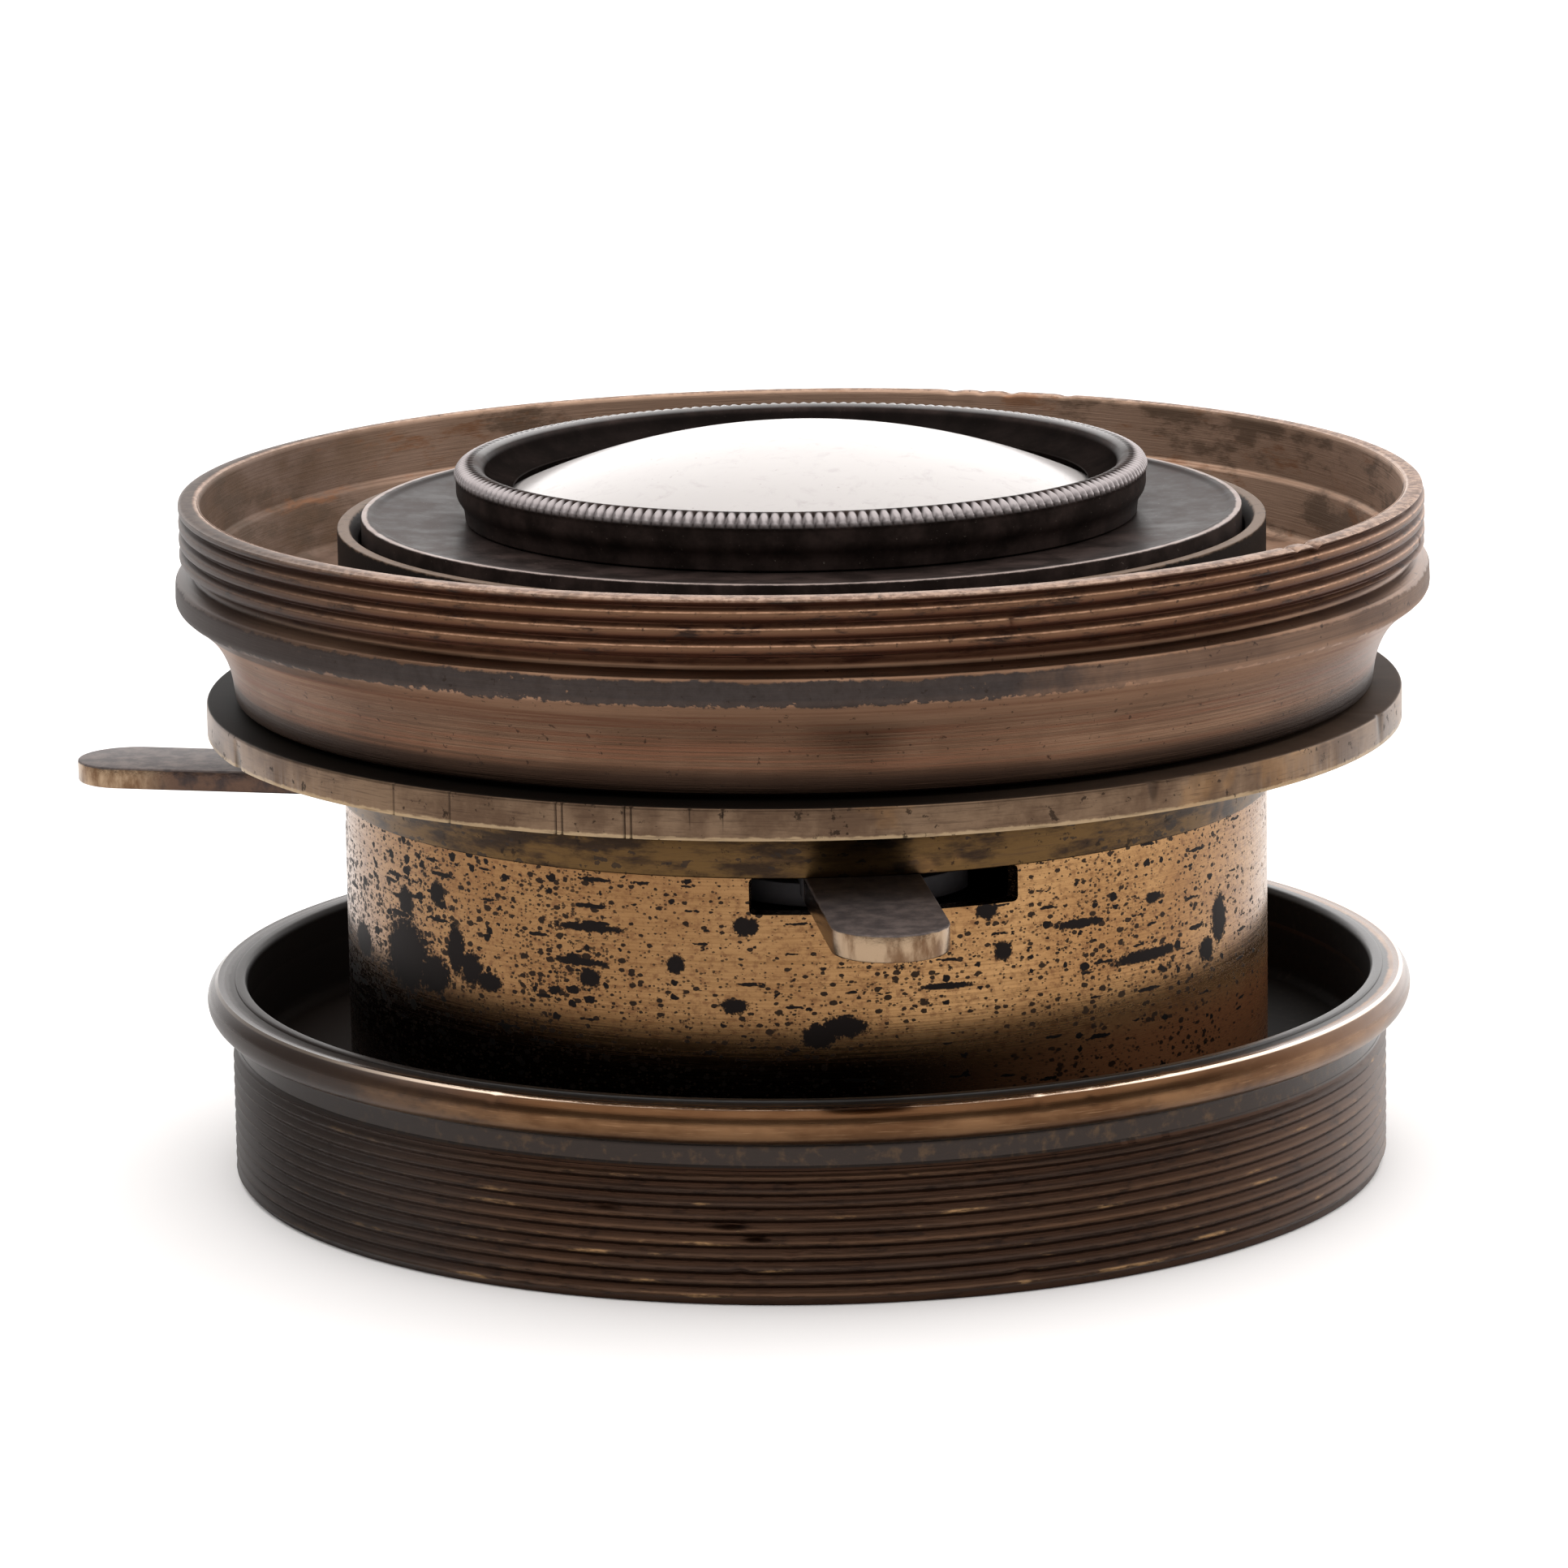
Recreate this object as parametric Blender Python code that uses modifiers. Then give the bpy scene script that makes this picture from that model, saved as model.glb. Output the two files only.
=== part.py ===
"""Brass portrait lens: threaded front collar, index flange, spotted brass barrel, black lens
cells, a twelve-leaf iris worked by two levers, and a threaded rear mounting cup.

The lens stands on its rear cup and the optical axis is the Z axis. The side that the front lever
points to is -Y. Lengths below are in millimetres, angles in degrees and heights from the cup's
lower edge; MM turns them into Blender's metres, and the last step moves the whole lens down so
that the origin is at its centre of volume.
"""
import bpy
import bmesh
from math import cos, degrees, pi, radians, sin, sqrt
from mathutils import Matrix, Vector

MM = 0.001
CENTRE_HEIGHT = 24.9    # of the centre of volume over the cup's lower edge
GAP = 0.3               # clearance kept between neighbouring pieces
SEGMENTS = 48           # facets round the large turned pieces
GLASS_SEGMENTS = 32
PIN_SEGMENTS = 8
ARC_STEP = 30           # degrees per facet on small arcs

# Barrel
BARREL_R = 30.9
BORE_R = 29.5
BARREL_TOP = 43.7
BARREL_BOTTOM = 4.5
LEDGE_R = 28.3          # ledge in the bore that the iris base plate sits on
SLOT_LOW = 23.45
SLOT_HIGH = 25.85 + 0.1
SLOT_HALF_ANGLE = 16.3
FRONT_SLOT_AZIMUTH = -80.75      # middle of the slot, about +Z from +X
SIDE_SLOT_AZIMUTH = 170.35
LEVER_FROM_SLOT = -2.85          # the levers stand a little to one side of their slots' middle
FRONT_LEVER_AZIMUTH = FRONT_SLOT_AZIMUTH + LEVER_FROM_SLOT
SIDE_LEVER_AZIMUTH = SIDE_SLOT_AZIMUTH + LEVER_FROM_SLOT

# Index flange: a disc and the hub that holds it on the barrel
FLANGE_R = 39.9
FLANGE_TOP = 32.3
FLANGE_BOTTOM = 30.2
HUB_BOTTOM = 26.1
HUB_R = 31.8

# Front collar
COLLAR_THREAD_R = 41.4
COLLAR_TOP = 45.8
COLLAR_BORE_R = 40.1
COLLAR_FLOOR = 38.3
COLLAR_BEAD_R = 41.7

# Rear cup
CUP_THREAD_R = 38.85
CUP_BORE_R = 37.8
CUP_BEAD_R = 40.45
CUP_BEAD_Z = 11.9
CUP_TOP = 13.3
CUP_FLOOR = 7.2

# Glass
FRONT_GLASS_R = 19.6
REAR_GLASS_R = 20.6

# Iris: leaves stacked between the base plate and the control ring
LEAF_COUNT = 12
LEAF_THICKNESS = 0.15
LEAF_PITCH = 0.4
LEAF_INNER_R = 19.6
LEAF_OUTER_R = 26.4
LEAF_SWEEP = 112
PIVOT_R = 27.6
ARBOR_R = 0.7
ROOT_R = 1.5
CRANK_LENGTH = 7.5
CRANK_ANGLE = -35       # of the crank from the line to the axis, at rest
CRANK_HALF_WIDTH = 1.0
DRIVE_PIN_R = 0.5
PIN_CLEARANCE = 0.15
IRIS_OPENING_R = 19.4
LEAF_TRAVEL = 36.0      # each leaf's swing from fully open to smallest stop
RING_TRAVEL = 16.0      # the control ring's turn over the same stroke
RING_RATIO = -LEAF_TRAVEL / RING_TRAVEL
BASE_PLATE_LOW = 14.6
BASE_PLATE_HIGH = 15.6
FIRST_LEAF_Z = 15.9
CRANK_LOW = 20.7
CRANK_HIGH = 21.3
RING_LOW = 21.6
RING_HIGH = 23.1
RING_OUTER_R = 29.2
COVER_LOW = 26.2
COVER_HIGH = 27.2

# Levers
FRONT_LEVER_LOW = 24.15
SIDE_LEVER_LOW = 24.45
LEVER_HIGH = 25.9
LEVER_HALF_WIDTH = 3.7
FRONT_LEVER_TIP_R = 48.0
SIDE_LEVER_TIP_R = 50.8
FOOT_LOW = 23.4
FOOT_HIGH = 24.9
FOOT_CENTRE_R = 20.3
FOOT_R = 8.6
FOOT_INNER_R = 22.0
SCREW_OFFSET = 6.3      # screws either side of the bar
SCREW_RADIUS_FROM_AXIS = 23.7
SCREW_SHANK_R = 0.6
SCREW_HEAD_R = 1.1
SCREW_HOLE_R = 0.9


# ---------------------------------------------------------------- scene and helpers

def new_collection(name):
    collection = bpy.data.collections.new(name)
    bpy.context.scene.collection.children.link(collection)
    return collection


def metal(name, color, roughness, metallic=1.0, alpha=1.0):
    material = bpy.data.materials.new(name)
    material.use_nodes = True
    shader = material.node_tree.nodes["Principled BSDF"]
    shader.inputs["Base Color"].default_value = (*color, 1.0)
    shader.inputs["Roughness"].default_value = roughness
    shader.inputs["Metallic"].default_value = metallic
    shader.inputs["Alpha"].default_value = alpha
    return material


def place(obj, collection, material=None):
    collection.objects.link(obj)
    if material:
        obj.data.materials.append(material)
    return obj


def as_helper(obj):
    """A cutter or a shape that is joined on: drawn as wire and not a part of its own."""
    HELPERS.objects.link(obj)
    obj.hide_render = True
    obj.display_type = "WIRE"
    return obj


def turned(name, profile, segments=SEGMENTS, closed=True):
    """A turned piece. profile lists (radius, z), down the outside and up the inside."""
    mesh = bpy.data.meshes.new(name)
    points = [(radius * MM, 0.0, height * MM) for radius, height in profile]
    edges = [(i, i + 1) for i in range(len(points) - 1)]
    if closed:
        edges.append((len(points) - 1, 0))
    mesh.from_pydata(points, edges, [])
    obj = bpy.data.objects.new(name, mesh)
    screw = obj.modifiers.new("Turn", "SCREW")
    screw.axis = "Z"
    screw.steps = segments
    screw.render_steps = segments
    screw.use_merge_vertices = True
    screw.merge_threshold = 0.00001
    screw.use_smooth_shade = True
    return obj


def tube_profile(inner, outer, low, high):
    return [(outer, high), (outer, low), (inner, low), (inner, high)]


def arc(centre, radius, start, end, step=ARC_STEP):
    """Points of an arc from start to end degrees, ends included."""
    count = max(2, round(abs(end - start) / step))
    angles = [radians(start + (end - start) * i / count) for i in range(count + 1)]
    return [(centre[0] + radius * cos(a), centre[1] + radius * sin(a)) for a in angles]


def plate(name, outline, low, high):
    """A flat piece with the given outline, made as a filled curve and turned into a mesh."""
    curve = bpy.data.curves.new(name + "_outline", "CURVE")
    curve.dimensions = "2D"
    curve.fill_mode = "BOTH"
    curve.extrude = (high - low) / 2 * MM
    spline = curve.splines.new("POLY")
    spline.points.add(len(outline) - 1)
    for point, (x, y) in zip(spline.points, outline):
        point.co = (x * MM, y * MM, 0.0, 1.0)
    spline.use_cyclic_u = True
    guide = bpy.data.objects.new(name + "_outline", curve)
    HELPERS.objects.link(guide)
    guide.location.z = (low + high) / 2 * MM
    bpy.context.view_layer.update()
    evaluated = guide.evaluated_get(bpy.context.evaluated_depsgraph_get())
    mesh = bpy.data.meshes.new_from_object(evaluated)
    mesh.name = name
    shape = bmesh.new()
    shape.from_mesh(mesh)
    bmesh.ops.transform(shape, matrix=guide.matrix_world, verts=shape.verts)
    bmesh.ops.remove_doubles(shape, verts=shape.verts, dist=0.000001)
    bmesh.ops.recalc_face_normals(shape, faces=shape.faces)
    shape.to_mesh(mesh)
    shape.free()
    bpy.data.objects.remove(guide)
    return bpy.data.objects.new(name, mesh)


def rod(name, radius, low, high, x=0.0, y=0.0, segments=PIN_SEGMENTS):
    """A plain upright cylinder, with the middle of a facet towards +X."""
    shape = bmesh.new()
    bmesh.ops.create_cone(shape, cap_ends=True, segments=segments, radius1=radius * MM,
                          radius2=radius * MM, depth=(high - low) * MM,
                          matrix=Matrix.Rotation(pi / segments, 4, "Z"))
    centre = Vector((x, y, (low + high) / 2)) * MM
    bmesh.ops.translate(shape, verts=shape.verts, vec=centre)
    mesh = bpy.data.meshes.new(name)
    shape.to_mesh(mesh)
    shape.free()
    return bpy.data.objects.new(name, mesh)


def boolean(obj, helper, operation):
    modifier = obj.modifiers.new(operation.title(), "BOOLEAN")
    modifier.operation = operation
    modifier.object = helper
    modifier.solver = "EXACT"


def cut(obj, helper):
    boolean(obj, as_helper(helper), "DIFFERENCE")


def join(obj, helper):
    boolean(obj, as_helper(helper), "UNION")


def turn_mesh(obj, degrees):
    """Turns the mesh itself about the Z axis, for a piece that is laid out along +X."""
    obj.data.transform(Matrix.Rotation(radians(degrees), 4, "Z"))
    return obj


def polar(radius, degrees):
    return radius * cos(radians(degrees)), radius * sin(radians(degrees))


def sector(inner, outer, half_angle, step=4):
    """Outline of a piece of a ring, centred on +X."""
    return (arc((0, 0), outer, -half_angle, half_angle, step)
            + arc((0, 0), inner, half_angle, -half_angle, step))


# ---------------------------------------------------------------- turned brass

def make_barrel():
    profile = [
        (BARREL_R, BARREL_TOP),
        (BARREL_R, BARREL_BOTTOM),
        (BORE_R, BARREL_BOTTOM),
        (BORE_R, BASE_PLATE_LOW - GAP - 1.0),
        (LEDGE_R, BASE_PLATE_LOW - GAP - 1.0),
        (LEDGE_R, BASE_PLATE_LOW - GAP),
        (BORE_R, BASE_PLATE_LOW - GAP),
        (BORE_R, BARREL_TOP),
    ]
    barrel = place(turned("barrel", profile), PARTS, BRASS)
    for index, azimuth in enumerate((FRONT_SLOT_AZIMUTH, SIDE_SLOT_AZIMUTH)):
        outline = sector(BORE_R - 2, BARREL_R + 2, SLOT_HALF_ANGLE)
        window = plate(f"slot_cutter_{index}", outline, SLOT_LOW, SLOT_HIGH)
        cut(barrel, turn_mesh(window, azimuth))


def make_index_flange():
    bore = BARREL_R + GAP
    cove = arc((HUB_R + 3.2, FLANGE_BOTTOM - 2.2), 2.2, 90, 180)
    profile = [
        (FLANGE_R - 0.2, FLANGE_TOP),
        (FLANGE_R, FLANGE_TOP - 0.2),
        (FLANGE_R, FLANGE_BOTTOM + 0.2),
        (FLANGE_R - 0.2, FLANGE_BOTTOM),
        *cove,
        (HUB_R, HUB_BOTTOM),
        (bore, HUB_BOTTOM),
        (bore, FLANGE_TOP),
    ]
    place(turned("index_flange", profile), PARTS, DARK_BRASS)


def make_front_collar():
    bore = BARREL_R + GAP
    profile = [
        (40.7, COLLAR_TOP),
        (COLLAR_THREAD_R, COLLAR_TOP - 0.5),
        (COLLAR_THREAD_R, 42.0),
        (40.5, 41.6),
        (40.5, 41.1),
        (COLLAR_BEAD_R, 40.7),
        (COLLAR_BEAD_R, 40.0),
        (40.4, 39.0),
        (39.4, 37.8),
        (38.7, 36.5),
        (38.1, 34.5),
        (37.9, FLANGE_TOP + GAP),
        (36.0, FLANGE_TOP + GAP),
        (36.0, 36.2),
        (33.6, 36.2),
        (33.6, FLANGE_TOP + GAP),
        (bore, FLANGE_TOP + GAP),
        (bore, COLLAR_FLOOR),
        (38.0, COLLAR_FLOOR),
        (39.2, 42.0),
        (39.6, 42.0),
        (COLLAR_BORE_R, COLLAR_TOP),
    ]
    place(turned("front_collar", profile), PARTS, BRONZE)


def make_rear_cup():
    bore = BARREL_R + GAP
    bead = arc((CUP_BEAD_R - 1.4, CUP_BEAD_Z), 1.4, 90, -90)
    profile = [
        *bead,
        (38.4, CUP_BEAD_Z - 1.4),
        (38.4, 8.7),
        (CUP_THREAD_R, 8.4),
        (CUP_THREAD_R, 0.4),
        (38.5, 0.0),
        (CUP_BORE_R, 0.0),
        (CUP_BORE_R, BARREL_BOTTOM),
        (bore, BARREL_BOTTOM),
        (bore, CUP_FLOOR),
        (CUP_BORE_R, CUP_FLOOR),
        (CUP_BORE_R, CUP_TOP),
    ]
    place(turned("rear_cup", profile), PARTS, BRONZE)


# ---------------------------------------------------------------- cells and glass

def make_front_cell():
    outer = BORE_R - GAP
    bore = FRONT_GLASS_R + GAP
    profile = [
        (28.5, 44.4),
        (outer, 44.3),
        (outer, 38.0),
        (27.6, 38.0),
        (27.6, 42.0),
        (22.2, 41.6),
        (22.2, 36.1),
        (18.5, 36.1),
        (18.5, 36.7),
        (bore, 36.7),
        (bore, 43.85),
        (22.3, 43.9),
    ]
    place(turned("front_cell", profile), PARTS, BLACK)


def make_front_retaining_ring():
    profile = [
        (22.6, 47.8),
        (23.1, 47.4),
        (23.0, 45.5),
        (22.3, 45.4),
        (22.3, 44.2),
        (FRONT_GLASS_R + GAP, 44.2),
        (FRONT_GLASS_R + GAP, 45.75),
        (19.0, 46.15),
        (20.8, 47.4),
    ]
    place(turned("front_retaining_ring", profile), PARTS, BLACK)


def surface(edge_radius, vertex, curvature, outward):
    """Points of a lens surface; curvature is its radius, positive where its middle is high."""
    count = 3
    radii = [edge_radius * i / count for i in range(count + 1)]
    if not outward:
        radii.reverse()
    sign = 1 if curvature > 0 else -1
    size = abs(curvature)
    return [(r, vertex - sign * (size - sqrt(size * size - r * r))) for r in radii]


def make_glass(name, edge_radius, top, bottom):
    """top and bottom are (height of the vertex, radius of curvature)."""
    profile = surface(edge_radius, *top, outward=True)
    profile += surface(edge_radius, *bottom, outward=False)
    place(turned(name, profile, GLASS_SEGMENTS, closed=False), PARTS, GLASS)


def make_glasses():
    cement_r = -40.0
    cement_vertex = 38.9
    make_glass("front_crown_glass", FRONT_GLASS_R, (49.6, 48.0), (cement_vertex, cement_r))
    make_glass("front_flint_glass", FRONT_GLASS_R, (cement_vertex - GAP, cement_r), (37.5, 400.0))
    make_glass("rear_flint_glass", REAR_GLASS_R, (12.9, 120.0), (11.1, 60.0))
    make_glass("rear_crown_glass", REAR_GLASS_R, (9.2, 60.0), (1.4, -75.0))


def make_rear_cell():
    outer = BORE_R - GAP
    bore = REAR_GLASS_R + GAP
    profile = [
        (outer, 12.6),
        (outer, BARREL_BOTTOM - GAP),
        (32.6, BARREL_BOTTOM - GAP),
        (32.6, 2.9),
        (bore, 2.9),
        (bore, 11.42),
        (19.6, 11.42),
        (19.6, 12.6),
        (22.6, 12.6),
        (22.6, 6.0),
        (27.7, 6.0),
        (27.7, 12.6),
    ]
    place(turned("rear_cell", profile), PARTS, BLACK)


def make_rear_rings():
    spacer = tube_profile(19.4, REAR_GLASS_R, 6.3, 7.1)
    place(turned("rear_spacer_ring", spacer), PARTS, BLACK)
    retaining = [
        (REAR_GLASS_R, 3.9),
        (REAR_GLASS_R, 2.9),
        (18.9, 2.9),
        (18.9, 3.45),
    ]
    place(turned("rear_retaining_ring", retaining), PARTS, BLACK)


# ---------------------------------------------------------------- iris

def leaf_outline():
    """A leaf in its fully open place, its pivot on +X and the band curving round to +Y."""
    middle = (LEAF_INNER_R + LEAF_OUTER_R) / 2
    half_band = (LEAF_OUTER_R - LEAF_INNER_R) / 2
    neck = 5.0          # degrees that the root takes up along the band
    outline = arc((0, 0), LEAF_OUTER_R, neck, LEAF_SWEEP, 13)
    outline += arc(polar(middle, LEAF_SWEEP), half_band, LEAF_SWEEP, LEAF_SWEEP + 180, 45)[1:-1]
    outline += arc((0, 0), LEAF_INNER_R, LEAF_SWEEP, 0, 13)
    outline += [polar(LEAF_INNER_R + 1.0, -3), polar(LEAF_OUTER_R - 1.0, -3.5)]
    outline += arc((PIVOT_R, 0), ROOT_R, -90, 90, 45)
    return outline


def crank_pin_offset(turn):
    """The drive pin's place from the pivot when the leaf has turned from rest, in degrees."""
    return polar(CRANK_LENGTH, 180 + CRANK_ANGLE + turn)


def capsule(start, end, half_width, step=30):
    """Outline of a bar with round ends from start to end."""
    along = Vector((end[0] - start[0], end[1] - start[1]))
    heading = -degrees(Vector((1, 0)).angle_signed(along))
    return (arc(end, half_width, heading - 90, heading + 90, step)
            + arc(start, half_width, heading + 90, heading + 270, step))


def make_leaves():
    open_place = [(x - PIVOT_R, y) for x, y in leaf_outline()]
    rest_turn = LEAF_TRAVEL / 2
    for index in range(LEAF_COUNT):
        name = f"iris_blade_{index + 1:02d}"
        low = FIRST_LEAF_Z + index * LEAF_PITCH
        leaf = plate(name, open_place, low, low + LEAF_THICKNESS)
        turn_mesh(leaf, rest_turn)
        azimuth = 360 * index / LEAF_COUNT
        pin = crank_pin_offset(0)
        crank = capsule((0, 0), pin, CRANK_HALF_WIDTH, 60)
        pieces = [
            rod(name + "_arbor", ARBOR_R, BASE_PLATE_LOW + GAP, CRANK_HIGH - 0.2),
            plate(name + "_crank", crank, CRANK_LOW, CRANK_HIGH),
            rod(name + "_pin", DRIVE_PIN_R, CRANK_HIGH - 0.3, RING_HIGH - 0.2, *pin),
        ]
        place(leaf, PARTS, DARK_STEEL)
        for piece in [leaf, *pieces]:
            piece.location = Vector((*polar(PIVOT_R, azimuth), 0)) * MM
            piece.rotation_euler.z = radians(azimuth)
        for piece in pieces:
            join(leaf, piece)


def drive_slot_outline():
    """The path of a drive pin over the control ring, widened to a slot, for the leaf on +X."""
    count = 4
    half_width = DRIVE_PIN_R + PIN_CLEARANCE
    path = []
    for i in range(count + 1):
        turn = LEAF_TRAVEL * (i / count - 0.5)
        x, y = crank_pin_offset(turn)
        point = Vector((PIVOT_R + x, y))
        point.rotate(Matrix.Rotation(radians(-turn / RING_RATIO), 2))
        path.append(point)
    tangents = [(path[min(i + 1, count)] - path[max(i - 1, 0)]).normalized()
                for i in range(count + 1)]
    sides = [Vector((-t.y, t.x)) * half_width for t in tangents]
    left = [p + s for p, s in zip(path, sides)]
    right = [p - s for p, s in zip(path, sides)]
    tip = path[-1] + tangents[-1] * half_width
    tail = path[0] - tangents[0] * half_width
    corner = 0.7
    tip_corners = [path[-1] + (tangents[-1] * half_width + side) * corner
                   for side in (sides[-1], -sides[-1])]
    tail_corners = [path[0] + (side - tangents[0] * half_width) * corner
                    for side in (-sides[0], sides[0])]
    outline = left + [tip_corners[0], tip, tip_corners[1]]
    outline += right[::-1] + [tail_corners[0], tail, tail_corners[1]]
    return [(p.x, p.y) for p in outline]


def screw_places(azimuth):
    """Centres of the two screws of the lever at this azimuth."""
    return [polar_offset(SCREW_RADIUS_FROM_AXIS, side * SCREW_OFFSET, azimuth) for side in (-1, 1)]


def polar_offset(along, across, azimuth):
    point = Vector((along, across))
    point.rotate(Matrix.Rotation(radians(azimuth), 2))
    return point.x, point.y


def make_iris_plates():
    base = turned("iris_base_plate", tube_profile(IRIS_OPENING_R, BORE_R - GAP,
                                                  BASE_PLATE_LOW, BASE_PLATE_HIGH))
    place(base, PARTS, BLACK)
    control = turned("iris_control_ring", tube_profile(IRIS_OPENING_R, RING_OUTER_R,
                                                       RING_LOW, RING_HIGH))
    place(control, PARTS, DARK_STEEL)
    slot = drive_slot_outline()
    for index in range(LEAF_COUNT):
        azimuth = 360 * index / LEAF_COUNT
        x, y = polar(PIVOT_R, azimuth)
        cut(base, rod(f"pivot_hole_{index}", ARBOR_R + PIN_CLEARANCE,
                      BASE_PLATE_LOW - 1, BASE_PLATE_HIGH + 1, x, y))
        cutter = plate(f"drive_slot_{index}", slot, RING_LOW - 1, RING_HIGH + 1)
        cut(control, turn_mesh(cutter, azimuth))
    for azimuth in (FRONT_LEVER_AZIMUTH, SIDE_LEVER_AZIMUTH):
        for x, y in screw_places(azimuth):
            cut(control, rod("screw_hole", SCREW_HOLE_R, RING_LOW - 1, RING_HIGH + 1, x, y))
    cover = turned("iris_cover_ring", tube_profile(IRIS_OPENING_R, BORE_R - GAP,
                                                   COVER_LOW, COVER_HIGH))
    place(cover, PARTS, BLACK)


def foot_outline():
    """The lever's foot: a disc's front, cut back to the control ring's width."""
    half_span = 62
    front = arc((FOOT_CENTRE_R, 0), FOOT_R, -half_span, half_span, 12)
    return front + [(FOOT_INNER_R, front[-1][1]), (FOOT_INNER_R, front[0][1])]


def make_lever(name, azimuth, tip_r, low):
    bar = capsule((FOOT_INNER_R + LEVER_HALF_WIDTH + 1, 0),
                  (tip_r - LEVER_HALF_WIDTH, 0), LEVER_HALF_WIDTH)
    lever = place(plate(name, bar, low, LEVER_HIGH), PARTS, DARK_BRASS)
    foot = plate(name + "_foot", foot_outline(), FOOT_LOW, FOOT_HIGH)
    turn_mesh(lever, azimuth)
    join(lever, turn_mesh(foot, azimuth))
    for x, y in screw_places(azimuth):
        cut(lever, rod(name + "_hole", SCREW_HOLE_R, FOOT_LOW - 1, LEVER_HIGH + 1, x, y))


def make_lever_screws():
    profile = [
        (0.0, LEVER_HIGH),
        (SCREW_HEAD_R, LEVER_HIGH),
        (SCREW_HEAD_R, FOOT_HIGH + GAP),
        (SCREW_SHANK_R, FOOT_HIGH + GAP),
        (SCREW_SHANK_R, RING_LOW + GAP),
        (0.0, RING_LOW + GAP),
    ]
    places = screw_places(FRONT_LEVER_AZIMUTH) + screw_places(SIDE_LEVER_AZIMUTH)
    for index, (x, y) in enumerate(places):
        screw = turned(f"lever_screw_{index + 1}", profile, PIN_SEGMENTS, closed=False)
        screw.location = Vector((x, y, 0)) * MM
        place(screw, PARTS, DARK_STEEL)


# ---------------------------------------------------------------- build

for old in list(bpy.data.objects):
    bpy.data.objects.remove(old)

PARTS = new_collection("brass_portrait_lens")
HELPERS = new_collection("cutters")
BRASS = metal("aged_brass", (0.36, 0.22, 0.09), 0.42)
DARK_BRASS = metal("dark_brass", (0.17, 0.12, 0.06), 0.5)
BRONZE = metal("brown_bronze", (0.13, 0.08, 0.045), 0.48)
BLACK = metal("black_lacquer", (0.012, 0.011, 0.01), 0.4, metallic=0.0)
DARK_STEEL = metal("blackened_steel", (0.03, 0.03, 0.03), 0.45)
GLASS = metal("optical_glass", (0.9, 0.9, 0.9), 0.02, metallic=0.0, alpha=0.35)

make_barrel()
make_index_flange()
make_front_collar()
make_rear_cup()
make_front_cell()
make_front_retaining_ring()
make_glasses()
make_rear_cell()
make_rear_rings()
make_leaves()
make_iris_plates()
make_lever("front_lever", FRONT_LEVER_AZIMUTH, FRONT_LEVER_TIP_R, FRONT_LEVER_LOW)
make_lever("side_lever", SIDE_LEVER_AZIMUTH, SIDE_LEVER_TIP_R, SIDE_LEVER_LOW)
make_lever_screws()

for item in [*PARTS.objects, *HELPERS.objects]:
    item.location.z -= CENTRE_HEIGHT * MM
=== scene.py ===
"""Looks of the brass portrait lens: fine turned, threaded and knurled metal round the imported
frame, aged brass and lacquer materials, a pale floor and a soft studio.

Lengths are in millimetres, angles in degrees about the optical axis, and heights are measured from
the lower edge of the rear cup. MM turns them into metres.
"""
from math import cos, pi, radians, sin

import bmesh
import bpy
import numpy as np
from mathutils import Matrix, Vector


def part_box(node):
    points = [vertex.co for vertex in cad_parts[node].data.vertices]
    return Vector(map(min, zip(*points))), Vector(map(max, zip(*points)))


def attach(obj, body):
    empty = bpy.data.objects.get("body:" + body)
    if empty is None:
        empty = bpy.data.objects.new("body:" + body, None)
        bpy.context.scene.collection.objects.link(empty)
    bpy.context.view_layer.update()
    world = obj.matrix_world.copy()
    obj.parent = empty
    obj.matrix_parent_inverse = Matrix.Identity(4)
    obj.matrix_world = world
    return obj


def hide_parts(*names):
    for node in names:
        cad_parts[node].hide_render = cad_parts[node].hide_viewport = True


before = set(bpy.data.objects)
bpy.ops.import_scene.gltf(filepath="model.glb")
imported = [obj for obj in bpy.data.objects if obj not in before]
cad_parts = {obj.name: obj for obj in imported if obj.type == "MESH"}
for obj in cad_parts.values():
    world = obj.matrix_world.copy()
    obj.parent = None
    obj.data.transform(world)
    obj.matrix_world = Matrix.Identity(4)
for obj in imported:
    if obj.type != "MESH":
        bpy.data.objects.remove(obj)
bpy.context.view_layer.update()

MM = 0.001
BASE_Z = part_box("rear_cup")[0].z


class Extent:
    """Outer radius and lowest and highest height of a CAD node, in millimetres."""

    def __init__(self, node):
        low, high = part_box(node)
        self.radius = high.x / MM
        self.low = (low.z - BASE_Z) / MM
        self.high = (high.z - BASE_Z) / MM


CUP = Extent("rear_cup")
BARREL = Extent("barrel")
FLANGE = Extent("index_flange")
COLLAR = Extent("front_collar")
RING = Extent("front_retaining_ring")

FRONT_SLOT_AZIMUTH = -80.75
SIDE_SLOT_AZIMUTH = 170.35
LEVER_FROM_SLOT = -2.85
SLOT_HALF_ANGLE = 16.3
SLOT_LOW = 23.45
SLOT_HIGH = 25.85
SLOT_CORNER = 0.35

COLLAR_PITCH = 25.4 / 24
COLLAR_THREAD_START = 0.5
CUP_PITCH = 25.4 / 30

RING_TEETH = 200
FRONT_GLASS_RADIUS = 19.6
REAR_GLASS_RADIUS = 20.6
DUST_AND_SHEEN = 0.7


# ---------------------------------------------------------------- mesh building

def build_mesh(name, points, quads):
    """A mesh from arrays of points in millimetres (heights from the base) and of quads."""
    points = np.asarray(points, np.float64) * MM
    points[:, 2] += BASE_Z
    mesh = bpy.data.meshes.new(name)
    mesh.from_pydata(points.tolist(), [], quads)
    mesh.validate()
    obj = bpy.data.objects.new(name, mesh)
    bpy.context.scene.collection.objects.link(obj)
    return obj


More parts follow.
